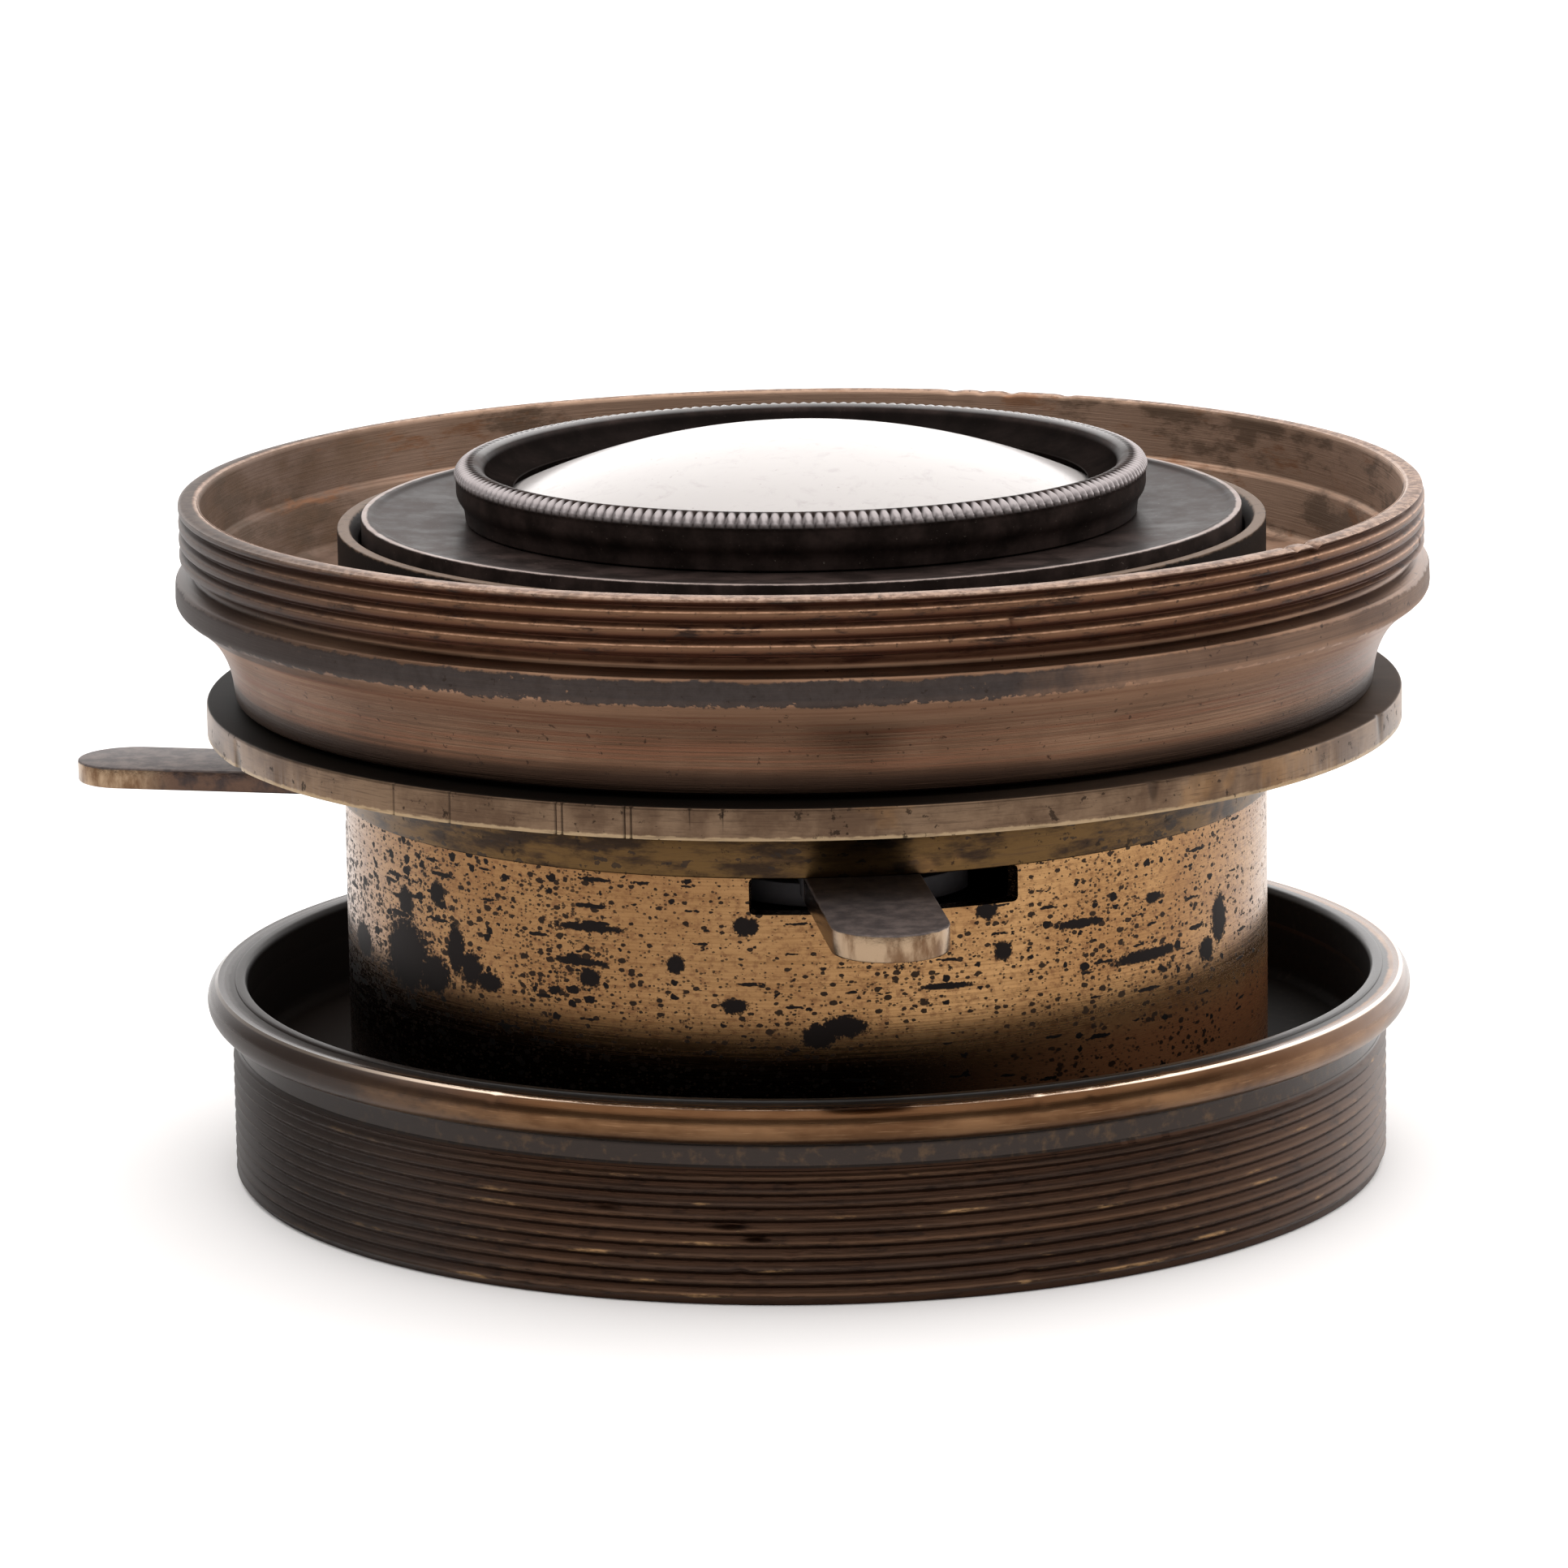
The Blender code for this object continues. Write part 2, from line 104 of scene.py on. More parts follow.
def smooth(obj, angle=35):
    """Smooth shading, except over edges sharper than angle."""
    obj.data.shade_smooth()
    obj.data.set_sharp_from_angle(angle=radians(angle))
    return obj


def lathe(name, profile, segments=360, shape=None, closed=True):
    """A turned piece. profile lists (radius, height), down the outside and up the inside.

    shape(radius, height, angle) may move the points: it gets and returns arrays.
    """
    profile = np.asarray(profile, np.float64)
    count = len(profile)
    angles = np.arange(segments) * (2 * pi / segments)
    radius = np.repeat(profile[None, :, 0], segments, axis=0)
    height = np.repeat(profile[None, :, 1], segments, axis=0)
    angle = np.repeat(angles[:, None], count, axis=1)
    if shape:
        radius, height = shape(radius, height, angle)
    points = np.stack([radius * np.cos(angle), radius * np.sin(angle), height], -1)
    quads = []
    steps = count if closed else count - 1
    for k in range(segments):
        here = k * count
        there = ((k + 1) % segments) * count
        for i in range(steps):
            j = (i + 1) % count
            quads.append((here + i, here + j, there + j, there + i))
    obj = build_mesh(name, points.reshape(-1, 3), quads)
    if not closed:
        merge_poles(obj)
    return smooth(obj)


def merge_poles(obj):
    """Joins the points that a profile's end on the axis leaves there."""
    shape = bmesh.new()
    shape.from_mesh(obj.data)
    bmesh.ops.remove_doubles(shape, verts=shape.verts, dist=0.0005 * MM)
    shape.to_mesh(obj.data)
    shape.free()


def rounded(corners, steps=4):
    """Closed outline with each corner (radius, height, fillet) rounded by its fillet."""
    points = []
    count = len(corners)
    for i, (r, z, fillet) in enumerate(corners):
        here = Vector((r, z))
        before = Vector(corners[i - 1][:2]) - here
        after = Vector(corners[(i + 1) % count][:2]) - here
        reach = min(fillet, before.length * 0.45, after.length * 0.45)
        if reach < 0.005:
            points.append((r, z))
            continue
        start = here + before.normalized() * reach
        end = here + after.normalized() * reach
        for s in range(steps + 1):
            t = s / steps
            point = start * (1 - t) ** 2 + here * 2 * t * (1 - t) + end * t ** 2
            points.append((point.x, point.y))
    return points


def arc(centre, radius, start, end, count):
    """Points on an arc from the angle start to end, in degrees."""
    angles = [radians(start + (end - start) * i / count) for i in range(count + 1)]
    return [(centre[0] + radius * cos(a), centre[1] + radius * sin(a)) for a in angles]


def thread_points(radius, top, bottom, pitch, per_turn=10):
    """Points down a threaded length, close enough together to carry the thread's form."""
    count = int((top - bottom) / pitch * per_turn)
    return [(radius, top + (bottom - top) * i / count) for i in range(count + 1)]


def ridge(height, angle, pitch, sharpness, start=0.0):
    """Depth of a right-handed thread's valley, 0 on the crest to 1 in the root."""
    turn = (height - start) / pitch - angle / (2 * pi)
    wave = 0.5 - 0.5 * np.cos(2 * pi * turn)
    return wave ** sharpness


def fade(height, low, high, width):
    """1 between low and high, falling to 0 at both over width."""
    return np.clip((height - low) / width, 0, 1) * np.clip((high - height) / width, 0, 1)


def wobble(angle, seed, amount, terms=7):
    """Smooth uneven outline round a turned piece, the same each run."""
    rng = np.random.default_rng(seed)
    total = np.zeros_like(angle)
    for n in range(1, terms + 1):
        total += rng.uniform(-1, 1) * np.cos(n * 3 * angle + rng.uniform(0, 2 * pi)) / terms
    return total * amount


def nicks(height, angle, marks):
    """Small dents: each mark is (azimuth, height, half width, half height, depth)."""
    total = np.zeros_like(angle)
    for azimuth, z, half_width, half_height, depth in marks:
        away = np.angle(np.exp(1j * (angle - radians(azimuth)))) / radians(half_width)
        total += depth * np.exp(-away ** 2 - ((height - z) / half_height) ** 2)
    return total


# ---------------------------------------------------------------- turned pieces

def make_collar():
    """The flared collar: thread at the mouth, shoulder, cone, and a channel in its foot."""
    thread_r = COLLAR.radius - 0.3
    thread_top = COLLAR.high - 0.12
    thread_low = 42.0
    root_depth = 0.4

    profile = [(40.3, COLLAR.high), (40.95, COLLAR.high), (41.15, COLLAR.high - 0.03)]
    profile += thread_points(thread_r, thread_top, thread_low, COLLAR_PITCH, 14)
    profile += rounded([
        (40.9, 41.95, 0.1),
        (40.45, 41.55, 0.2),
        (40.45, 41.15, 0.2),
        (41.55, 40.75, 0.12),
        (COLLAR.radius, 40.5, 0.2),
        (41.75, 39.1, 0.35),
        (40.95, 38.55, 0.5),
        (40.0, 37.75, 1.0),
        (39.2, 36.8, 1.2),
        (38.55, 35.6, 1.5),
        (38.15, 34.3, 1.0),
        (37.95, FLANGE.high + 0.4, 0.15),
        (37.2, FLANGE.high + 0.3, 0.1),
        (36.8, FLANGE.high + 0.05, 0),
        (36.0, FLANGE.high + 0.05, 0.2),
        (36.0, 36.2, 0.3),
        (33.6, 36.2, 0.3),
        (33.6, FLANGE.high + 0.05, 0.2),
        (BARREL.radius + 0.02, FLANGE.high + 0.05, 0),
        (BARREL.radius + 0.02, 38.3, 0),
        (37.6, 38.3, 0.5),
        (38.2, 38.6, 0.4),
        (39.1, 41.9, 0.2),
        (39.5, 42.05, 0.15),
        (39.95, COLLAR.high - 0.25, 0.2),
        (40.1, COLLAR.high, 0.1),
    ], 3)

    def shape(radius, height, angle):
        on_thread = (radius > 40.9) & (height > thread_low - 0.1)
        depth = root_depth * ridge(height, angle, COLLAR_PITCH, 2.4, COLLAR_THREAD_START)
        depth *= fade(height, thread_low - 0.2, COLLAR.high + 0.3, 0.35)
        worn = wobble(angle * 5 + height * 3, 3, 0.05, 9)
        marks = nicks(height, angle, [
            (-38, COLLAR.high - 0.1, 0.5, 0.35, 0.25), (-41, COLLAR.high, 0.3, 0.3, 0.15),
            (62, COLLAR.high, 0.7, 0.3, 0.12), (68, COLLAR.high, 0.6, 0.3, 0.15),
            (71, COLLAR.high, 0.5, 0.3, 0.1), (74, COLLAR.high, 0.7, 0.3, 0.12),
            (-12, 42.6, 0.4, 0.4, 0.2), (-72, 43.7, 0.3, 0.3, 0.2),
        ])
        radius = radius - np.where(on_thread, depth + np.maximum(worn, 0), 0)
        top_edge = (height > COLLAR.high - 0.5) & (radius > 39.9)
        height = height - np.where(top_edge, marks, 0)
        radius = radius - np.where((height > 40) & ~top_edge & on_thread, marks, 0)
        return radius, height

    return lathe("front_collar_turned", profile, 1080, shape)


def make_flange():
    """The index flange with its engraved lines, and the coved hub below it."""
    hub_low = SLOT_HIGH + 0.02
    corners = [
        (FLANGE.radius, FLANGE.high, 0.25),
        (FLANGE.radius, FLANGE.low + 4.1, 0.1),
        (FLANGE.radius, 30.2, 0.3),
        (35.0, 30.15, 0.3),
        (33.2, 29.9, 0.6),
        (32.2, 29.2, 0.8),
        (31.65, 28.2, 1.0),
        (31.35, 27.0, 0.5),
        (31.25, hub_low, 0.12),
        (BARREL.radius + 0.02, hub_low, 0),
        (BARREL.radius + 0.02, FLANGE.high, 0),
    ]

    engraved = [(-131, 0.0), (-124.4, 0.0), (-113.3, 0.0), (-112.6, 0.0), (-106.7, 0.0),
                (-106.0, 0.0), (-100.6, 0.55), (-97.6, 0.6)]

    def shape(radius, height, angle):
        on_rim = radius > FLANGE.radius - 0.5
        groove = np.zeros_like(radius)
        for azimuth, start in engraved:
            away = np.abs(np.degrees(np.angle(np.exp(1j * (angle - radians(azimuth))))))
            line = np.clip(1.5 - away / 0.09, 0, 1)
            share = (height - 30.2) / (FLANGE.high - 30.2)
            groove = np.maximum(groove, line * (share > start))
        dents = nicks(height, angle, [
            (-52, 31.6, 1.2, 0.5, 0.12), (-57, 31.9, 0.6, 0.4, 0.15), (-63, 30.6, 1.0, 0.3, 0.1),
            (-20, 32.2, 0.8, 0.3, 0.2), (-158, 30.4, 0.8, 0.4, 0.25),
        ])
        return radius - np.where(on_rim, groove * 0.1 + dents, 0), height

    profile = rounded(corners, 4)
    return lathe("index_flange_turned", profile, 2400, shape)


def make_cup():
    """The rear cup: a bead round its mouth, a plain neck and the mounting thread."""
    thread_top = 8.75
    bead_r = 1.35
    bead_centre = (CUP.radius - bead_r, 11.95)
    profile = [(38.75, 13.15), (38.95, 13.05)]
    profile += arc(bead_centre, bead_r, 62, -75, 14)
    profile += rounded([(38.75, 10.5, 0.1), (38.5, 10.25, 0.2), (38.5, 8.95, 0.1)], 3)
    profile += thread_points(38.85, thread_top, 0.45, CUP_PITCH, 12)
    profile += rounded([
        (38.55, 0.0, 0.15),
        (37.8, 0.0, 0.2),
        (37.8, 4.5, 0.3),
        (BARREL.radius + 0.02, 4.5, 0),
        (BARREL.radius + 0.02, 7.2, 0),
        (37.2, 7.2, 0.4),
        (37.75, 7.7, 0.4),
        (37.75, 12.9, 0.1),
        (37.95, 13.3, 0.15),
        (38.6, 13.3, 0.15),
    ], 3)
    root_depth = 0.32

    def shape(radius, height, angle):
        on_thread = (radius > 38.7) & (height < thread_top + 0.1) & (height > 0.2)
        depth = root_depth * ridge(height, angle, CUP_PITCH, 0.9)
        depth *= fade(height, 0.1, thread_top + 0.25, 0.3)
        worn = wobble(angle * 7 + height * 2, 5, 0.06, 11)
        dents = nicks(height, angle, [
            (-98, 5.2, 1.3, 0.25, 0.22), (-95.5, 4.4, 1.0, 0.2, 0.2), (-92, 3.3, 0.8, 0.2, 0.2),
            (-97, 2.2, 0.6, 0.3, 0.15), (-110, 6.2, 1.4, 0.2, 0.15), (-70, 1.4, 1.0, 0.25, 0.18),
        ])
        bead_dents = nicks(height, angle, [
            (-69, 12.6, 0.5, 0.4, 0.08), (-64, 12.3, 0.4, 0.5, 0.08), (-120, 12.8, 0.4, 0.3, 0.08),
        ])
        on_bead = radius > 39.1
        radius = radius - np.where(on_thread, depth + np.maximum(worn, 0) + dents, 0)
        radius = radius - np.where(on_bead, bead_dents, 0)
        return radius, height

    return lathe("rear_cup_turned", profile, 1080, shape)


def make_barrel():
    """The tube, with a ledge inside it above the rear cell, and the two lever slots."""
    bore = BARREL.radius - 1.4
    ledge_r = 28.3
    profile = rounded([
        (BARREL.radius, BARREL.high, 0.12),
        (BARREL.radius, BARREL.low, 0.1),
        (bore, BARREL.low, 0.1),
        (bore, 13.3, 0),
        (ledge_r, 13.3, 0),
        (ledge_r, 14.3, 0),
        (bore, 14.3, 0),
        (bore, 42.9, 0.1),
        (BARREL.radius - 0.75, BARREL.high, 0.1),
    ], 3)
    barrel = lathe("barrel_tube", profile, 480)
    for azimuth in (FRONT_SLOT_AZIMUTH, SIDE_SLOT_AZIMUTH):
        cut_window(barrel, azimuth)
    return smooth(barrel, 30)


def cut_window(tube, azimuth):
    """Cuts a lever's slot, with milled round corners, through the barrel wall."""
    corner = SLOT_CORNER
    reach = radians(SLOT_HALF_ANGLE) * BARREL.radius
    outline = []
    for side, level, start in ((1, SLOT_HIGH, 0), (-1, SLOT_HIGH, 90),
                               (-1, SLOT_LOW, 180), (1, SLOT_LOW, 270)):
        middle = (side * (reach - corner), level - corner if level == SLOT_HIGH else level + corner)
        outline += arc(middle, corner, start, start + 90, 5)
        if level == SLOT_HIGH and side == 1:
            outline += [(reach * (1 - i / 6), level) for i in range(1, 12)]
        if level == SLOT_LOW and side == -1:
            outline += [(-reach * (1 - i / 6), level) for i in range(1, 12)]
    shape = bmesh.new()
    rings = []
    for radius in (BARREL.radius + 2, BARREL.radius - 3):
        ring = []
        for across, height in outline:
            angle = radians(azimuth) + across / BARREL.radius
            ring.append(shape.verts.new((radius * cos(angle) * MM, radius * sin(angle) * MM,
                                         height * MM + BASE_Z)))
        rings.append(ring)
    for i in range(len(outline)):
        j = (i + 1) % len(outline)
        shape.faces.new((rings[0][i], rings[0][j], rings[1][j], rings[1][i]))
    caps = [shape.faces.new(rings[0]), shape.faces.new(rings[1])]
    bmesh.ops.triangulate(shape, faces=caps)
    bmesh.ops.recalc_face_normals(shape, faces=shape.faces)
    cut(tube, mesh_object("slot_cutter", shape))


def mesh_object(name, shape):
    mesh = bpy.data.meshes.new(name)
    shape.to_mesh(mesh)
    shape.free()
    obj = bpy.data.objects.new(name, mesh)
    bpy.context.scene.collection.objects.link(obj)
    return obj


def boolean(obj, other, operation):
    modifier = obj.modifiers.new("Boolean", "BOOLEAN")
    modifier.object = other
    modifier.operation = operation
    modifier.solver = "EXACT"
    apply_modifiers(obj)
    bpy.data.objects.remove(other)


def cut(obj, cutter):
    boolean(obj, cutter, "DIFFERENCE")


def extruded(name, outline, low, high):
    """A flat piece with the given outline, from low to high."""
    shape = bmesh.new()
    lower = [shape.verts.new((x * MM, y * MM, low * MM + BASE_Z)) for x, y in outline]
    face = shape.faces.new(lower)
    top = bmesh.ops.extrude_face_region(shape, geom=[face])["geom"]
    raised = [v for v in top if isinstance(v, bmesh.types.BMVert)]
    bmesh.ops.translate(shape, verts=raised, vec=(0, 0, (high - low) * MM))
    bmesh.ops.recalc_face_normals(shape, faces=shape.faces)
    return mesh_object(name, shape)


def apply_modifiers(obj):
    """Makes the modifiers' result the object's own mesh."""
    bpy.context.view_layer.update()
    evaluated = obj.evaluated_get(bpy.context.evaluated_depsgraph_get())
    mesh = bpy.data.meshes.new_from_object(evaluated)
    obj.modifiers.clear()
    obj.data = mesh


def make_cell():
    """The black front cell: a shallow dish round the glasses' bore."""
    outer = 29.3
    profile = rounded([
        (outer, 44.4, 0.12),
        (outer, 38.0, 0.1),
        (27.6, 38.0, 0.1),
        (27.6, 42.4, 0.3),
        (22.3, 41.9, 0.3),
        (22.3, 36.1, 0.2),
        (18.5, 36.1, 0.1),
        (18.5, 36.7, 0.1),
        (19.9, 36.7, 0.1),
        (19.9, 43.85, 0.1),
        (22.4, 43.88, 0.3),
        (25.5, 44.02, 0.5),
        (28.3, 44.2, 0.3),
        (28.6, 44.4, 0.12),
    ], 3)
    return lathe("front_cell_turned", profile, 360)


def make_ring():
    """The retaining ring, with fine knurled teeth round its upper edge."""
    points_per_tooth = 8
    top = RING.high
    profile = rounded([
        (22.15, top, 0.35),
        (22.85, top - 0.25, 0.3),
        (RING.radius, top - 0.75, 0.2),
        (22.95, top - 1.1, 0.12),
        (22.95, 45.6, 0.4),
        (22.45, 44.9, 0.4),
        (22.35, 43.98, 0.1),
        (19.9, 43.98, 0.1),
        (19.9, 45.75, 0.1),
        (19.05, 46.0, 0.1),
        (19.3, 46.2, 0.2),
        (20.7, 46.75, 0.3),
        (21.05, top - 0.55, 0.35),
        (21.5, top - 0.08, 0.3),
    ], 6)

    def shape(radius, height, angle):
        band = np.clip((height - (top - 1.0)) / 0.2, 0, 1) * np.clip((radius - 21.75) / 0.5, 0, 1)
        valley = 1 - np.abs(np.sin(angle * RING_TEETH / 2 + (height - top) * 0.4))
        cutting = band * valley ** 1.2
        return radius - 0.22 * cutting, height - 0.2 * cutting * (height > top - 0.6)

    return lathe("retaining_ring_knurled", profile, RING_TEETH * points_per_tooth, shape)


def lens_surface(edge, vertex, curvature, outward):
    """Points along a glass's face. curvature is its radius, and is negative for a face that
    rises towards its edge.
    """
    count = 28
    radii = np.linspace(0, edge, count + 1)
    if not outward:
        radii = radii[::-1]
    sign = 1 if curvature > 0 else -1
    size = abs(curvature)
    return [(r, vertex - sign * (size - (size * size - r * r) ** 0.5)) for r in radii]


def make_lens(name, edge, top, bottom):
    """A glass; top and bottom are each (height on the axis, radius of curvature)."""
    profile = lens_surface(edge, *top, True)
    profile += lens_surface(edge, *bottom, False)
    return lathe(name, profile, 160, closed=False)


def make_rear_cell():
    """The rear glasses' holder, with a flange under the cup's floor."""
    profile = rounded([
        (29.2, 12.6, 0.1), (29.2, 4.25, 0.1), (32.6, 4.25, 0.1), (32.6, 2.9, 0.25),
        (24.5, 2.9, 0.15), (24.2, 3.2, 0.15), (21.8, 3.2, 0.1), (21.6, 2.9, 0.1),
        (20.9, 2.9, 0.1), (20.9, 11.42, 0.1), (19.6, 11.42, 0.1), (19.6, 12.6, 0.1),
        (22.6, 12.6, 0.1), (22.6, 6.0, 0.1), (27.7, 6.0, 0.1), (27.7, 12.6, 0.1),
    ], 3)
    return lathe("rear_cell_turned", profile, 360)


def make_rear_ring():
    """The rear glasses' retaining ring, with two holes for a pin spanner."""
    hole_centre_r, hole_r = 19.75, 0.35
    profile = rounded([
        (20.6, 3.9, 0), (20.6, 2.9, 0.08), (18.9, 2.9, 0.08), (18.9, 3.45, 0.05),
    ], 3)
    ring = lathe("rear_retaining_ring_turned", profile, 360)
    for azimuth in (20, 200):
        angle = radians(azimuth)
        centre = (hole_centre_r * cos(angle), hole_centre_r * sin(angle))
        outline = arc(centre, hole_r, 0, 330, 11)
        cut(ring, extruded("spanner_hole", outline, 2.0, 3.4))
    return smooth(ring, 30)


# ---------------------------------------------------------------- levers

LEVER_TOP = 25.9
LEVER_HALF_WIDTH = 3.7
FOOT_LOW = 23.4
FOOT_HIGH = 24.9
FOOT_CENTRE_R = 20.3
FOOT_R = 8.6
FOOT_INNER_R = 22.0


def bevelled(obj, width):
    modifier = obj.modifiers.new("Bevel", "BEVEL")
    modifier.width = width * MM
    modifier.segments = 3
    modifier.limit_method = "ANGLE"
    modifier.angle_limit = radians(40)
    apply_modifiers(obj)
    return obj


def turned_to(obj, azimuth):
    obj.data.transform(Matrix.Rotation(radians(azimuth), 4, "Z"))
    return obj


def make_lever(name, azimuth, reach, low):
    """A round-ended bar out to the radius reach, on a wider foot inside the barrel."""
    bar_outline = arc((reach - LEVER_HALF_WIDTH, 0), LEVER_HALF_WIDTH, -90, 90, 40)
    bar_outline += [(FOOT_INNER_R + 1, LEVER_HALF_WIDTH), (FOOT_INNER_R + 1, -LEVER_HALF_WIDTH)]
    bar = bevelled(extruded(name, bar_outline, low, LEVER_TOP), 0.14)
    foot_outline = arc((FOOT_CENTRE_R, 0), FOOT_R, -62, 62, 40)
    foot_outline += [(FOOT_INNER_R, foot_outline[-1][1]), (FOOT_INNER_R, foot_outline[0][1])]
    foot = bevelled(extruded(name + "_foot_shape", foot_outline, FOOT_LOW, FOOT_HIGH), 0.1)
    boolean(bar, foot, "UNION")
    return smooth(turned_to(bar, azimuth), 40)


# ---------------------------------------------------------------- materials

class Paint:
    """Builds one procedural material; lengths in its textures are millimetres."""

    def __init__(self, name):
        self.material = bpy.data.materials.new(name)
        self.material.use_nodes = True
        self.nodes = self.material.node_tree.nodes
        self.links = self.material.node_tree.links
        self.shader = self.nodes["Principled BSDF"]
        coordinates = self.nodes.new("ShaderNodeTexCoord").outputs["Object"]
        self.place = self.vector("MULTIPLY_ADD", coordinates, (1 / MM,) * 3,
                                 (0, 0, -BASE_Z / MM))
        split = self.nodes.new("ShaderNodeSeparateXYZ")
        self.links.new(self.place, split.inputs[0])
        self.x, self.y, self.z = split.outputs
        self.radius = self.math("SQRT", self.math("ADD", self.math("MULTIPLY", self.x, self.x),
                                                  self.math("MULTIPLY", self.y, self.y)))

    def put(self, value, socket):
        """Sets a socket to a number, a colour or another node's output."""
        if isinstance(value, bpy.types.NodeSocket):
            self.links.new(value, socket)
        elif isinstance(value, (tuple, list)) and len(value) == 3 and socket.type == "RGBA":
            socket.default_value = (*value, 1)
        else:
            socket.default_value = value

    def vector(self, operation, *values):
        """Vector arithmetic on sockets and triples of numbers."""
        node = self.nodes.new("ShaderNodeVectorMath")
        node.operation = operation
        for value, socket in zip(values, node.inputs):
            self.put(value, socket)
        return node.outputs["Value" if operation == "LENGTH" else "Vector"]

    def math(self, operation, a, b=0.0):
        node = self.nodes.new("ShaderNodeMath")
        node.operation = operation
        self.put(a, node.inputs[0])
        self.put(b, node.inputs[1])
        return node.outputs[0]

    def stretched(self, across, along):
        """The place with round-the-axis detail scaled by across and height by along."""
        return self.vector("MULTIPLY", self.place, (across, across, along))

    def noise(self, scale, detail=4.0, roughness=0.55, vector=None, distortion=0.0, offset=0.0):
        node = self.nodes.new("ShaderNodeTexNoise")
        node.noise_dimensions = "4D" if offset else "3D"
        self.put(vector or self.place, node.inputs["Vector"])
        node.inputs["Scale"].default_value = scale
        node.inputs["Detail"].default_value = detail
        node.inputs["Roughness"].default_value = roughness
        node.inputs["Distortion"].default_value = distortion
        if offset:
            node.inputs["W"].default_value = offset
        return node.outputs[0]

    def step(self, value, low, high):
        """0 below low, 1 above high, smooth between (low may be the larger)."""
        node = self.nodes.new("ShaderNodeMapRange")
        node.interpolation_type = "SMOOTHSTEP"
        self.put(value, node.inputs[0])
        node.inputs[1].default_value = low
        node.inputs[2].default_value = high
        return node.outputs[0]

    def band(self, value, low, high, soft):
        """1 between low and high, with edges 2 * soft wide."""
        return self.math("MULTIPLY", self.step(value, low - soft, low + soft),
                         self.step(value, high + soft, high - soft))

    def mix(self, share, a, b):
        node = self.nodes.new("ShaderNodeMix")
        node.data_type = "RGBA"
        self.put(share, node.inputs[0])
        self.put(a, node.inputs[6])
        self.put(b, node.inputs[7])
        return node.outputs[2]

    def spots(self, scale, size, across=1.0, along=1.0, crowd=None, offset=0.0, ragged=0.35):
        """Scattered spots of tarnish, 1 inside; size is their greatest radius in cells."""
        jitter = self.nodes.new("ShaderNodeTexNoise")
        self.put(self.place, jitter.inputs["Vector"])
        jitter.inputs["Scale"].default_value = scale * 2.2
        jitter.inputs["Detail"].default_value = 3
        moved = self.vector("MULTIPLY_ADD", jitter.outputs["Color"], (ragged / scale,) * 3,
                            self.stretched(across, along))
        cells = self.nodes.new("ShaderNodeTexVoronoi")
        self.put(self.vector("ADD", moved, (offset, offset * 1.7, offset * 0.6)),
                 cells.inputs["Vector"])
        cells.inputs["Scale"].default_value = scale
        pick = self.nodes.new("ShaderNodeSeparateColor")
        self.put(cells.outputs["Color"], pick.inputs[0])
        chance = self.math("POWER", pick.outputs[0], 2.0)
        radius = self.scaled(chance, size)
        if crowd:
            radius = self.math("MULTIPLY", radius, crowd)
        inside = self.math("SUBTRACT", radius, cells.outputs["Distance"])
        return self.step(inside, 0.0, 0.035)

    def flank(self, pitch, start=0.0):
        """Place on a right-handed thread: 0 on the crest, 0.5 just above it, -0.5 below."""
        turn = self.scaled(self.math("ARCTAN2", self.y, self.x), 1 / (2 * pi))
        rise = self.scaled(self.math("SUBTRACT", self.z, start), 1 / pitch)
        whole = self.math("ADD", self.math("SUBTRACT", rise, turn), 0.5)
        return self.math("SUBTRACT", self.math("FRACT", whole), 0.5)

    def blend_value(self, share, a, b):
        node = self.nodes.new("ShaderNodeMix")
        self.put(share, node.inputs[0])
        self.put(a, node.inputs[2])
        self.put(b, node.inputs[3])
        return node.outputs[0]

    def most(self, *values):
        total = values[0]
        for value in values[1:]:
            total = self.math("MAXIMUM", total, value)
        return total

    def both(self, *values):
        total = values[0]
        for value in values[1:]:
            total = self.math("MULTIPLY", total, value)
        return total

    def scaled(self, value, factor):
        return self.math("MULTIPLY", value, factor)

    def bump(self, height, distance, strength):
        """Relief that stands distance millimetres high at most."""
        node = self.nodes.new("ShaderNodeBump")
        node.inputs["Strength"].default_value = strength
        node.inputs["Distance"].default_value = distance * MM
        self.put(height, node.inputs["Height"])
        return node.outputs[0]

    def finish(self, color, roughness, metallic, normal, specular=0.5):
        self.put(color, self.shader.inputs["Base Color"])
        self.put(roughness, self.shader.inputs["Roughness"])
        self.put(metallic, self.shader.inputs["Metallic"])
        self.put(specular, self.shader.inputs["Specular IOR Level"])
        self.put(normal, self.shader.inputs["Normal"])
        return self.material


def srgb(red, green, blue):
    """A colour given as it looks on screen, 0 to 255, as linear values."""
    def linear(v):
        v /= 255
        return v / 12.92 if v <= 0.04045 else ((v + 0.055) / 1.055) ** 2.4
    return linear(red), linear(green), linear(blue)


def blotches(paint, marks, edge):
    """Ragged marks on the barrel: each is (azimuth, height, half width, half height)."""
    total = 0.0
    for azimuth, height, half_width, half_height in marks:
        angle = radians(azimuth)
        centre = (BARREL.radius * cos(angle), BARREL.radius * sin(angle), height)
        apart = paint.vector("SUBTRACT", paint.place, centre)
        apart = paint.vector("MULTIPLY", apart, (1 / half_width, 1 / half_width, 1 / half_height))
        ragged = paint.math("ADD", paint.vector("LENGTH", apart), edge)
        total = paint.math("MAXIMUM", paint.step(ragged, 1.1, 0.95), total)
    return total


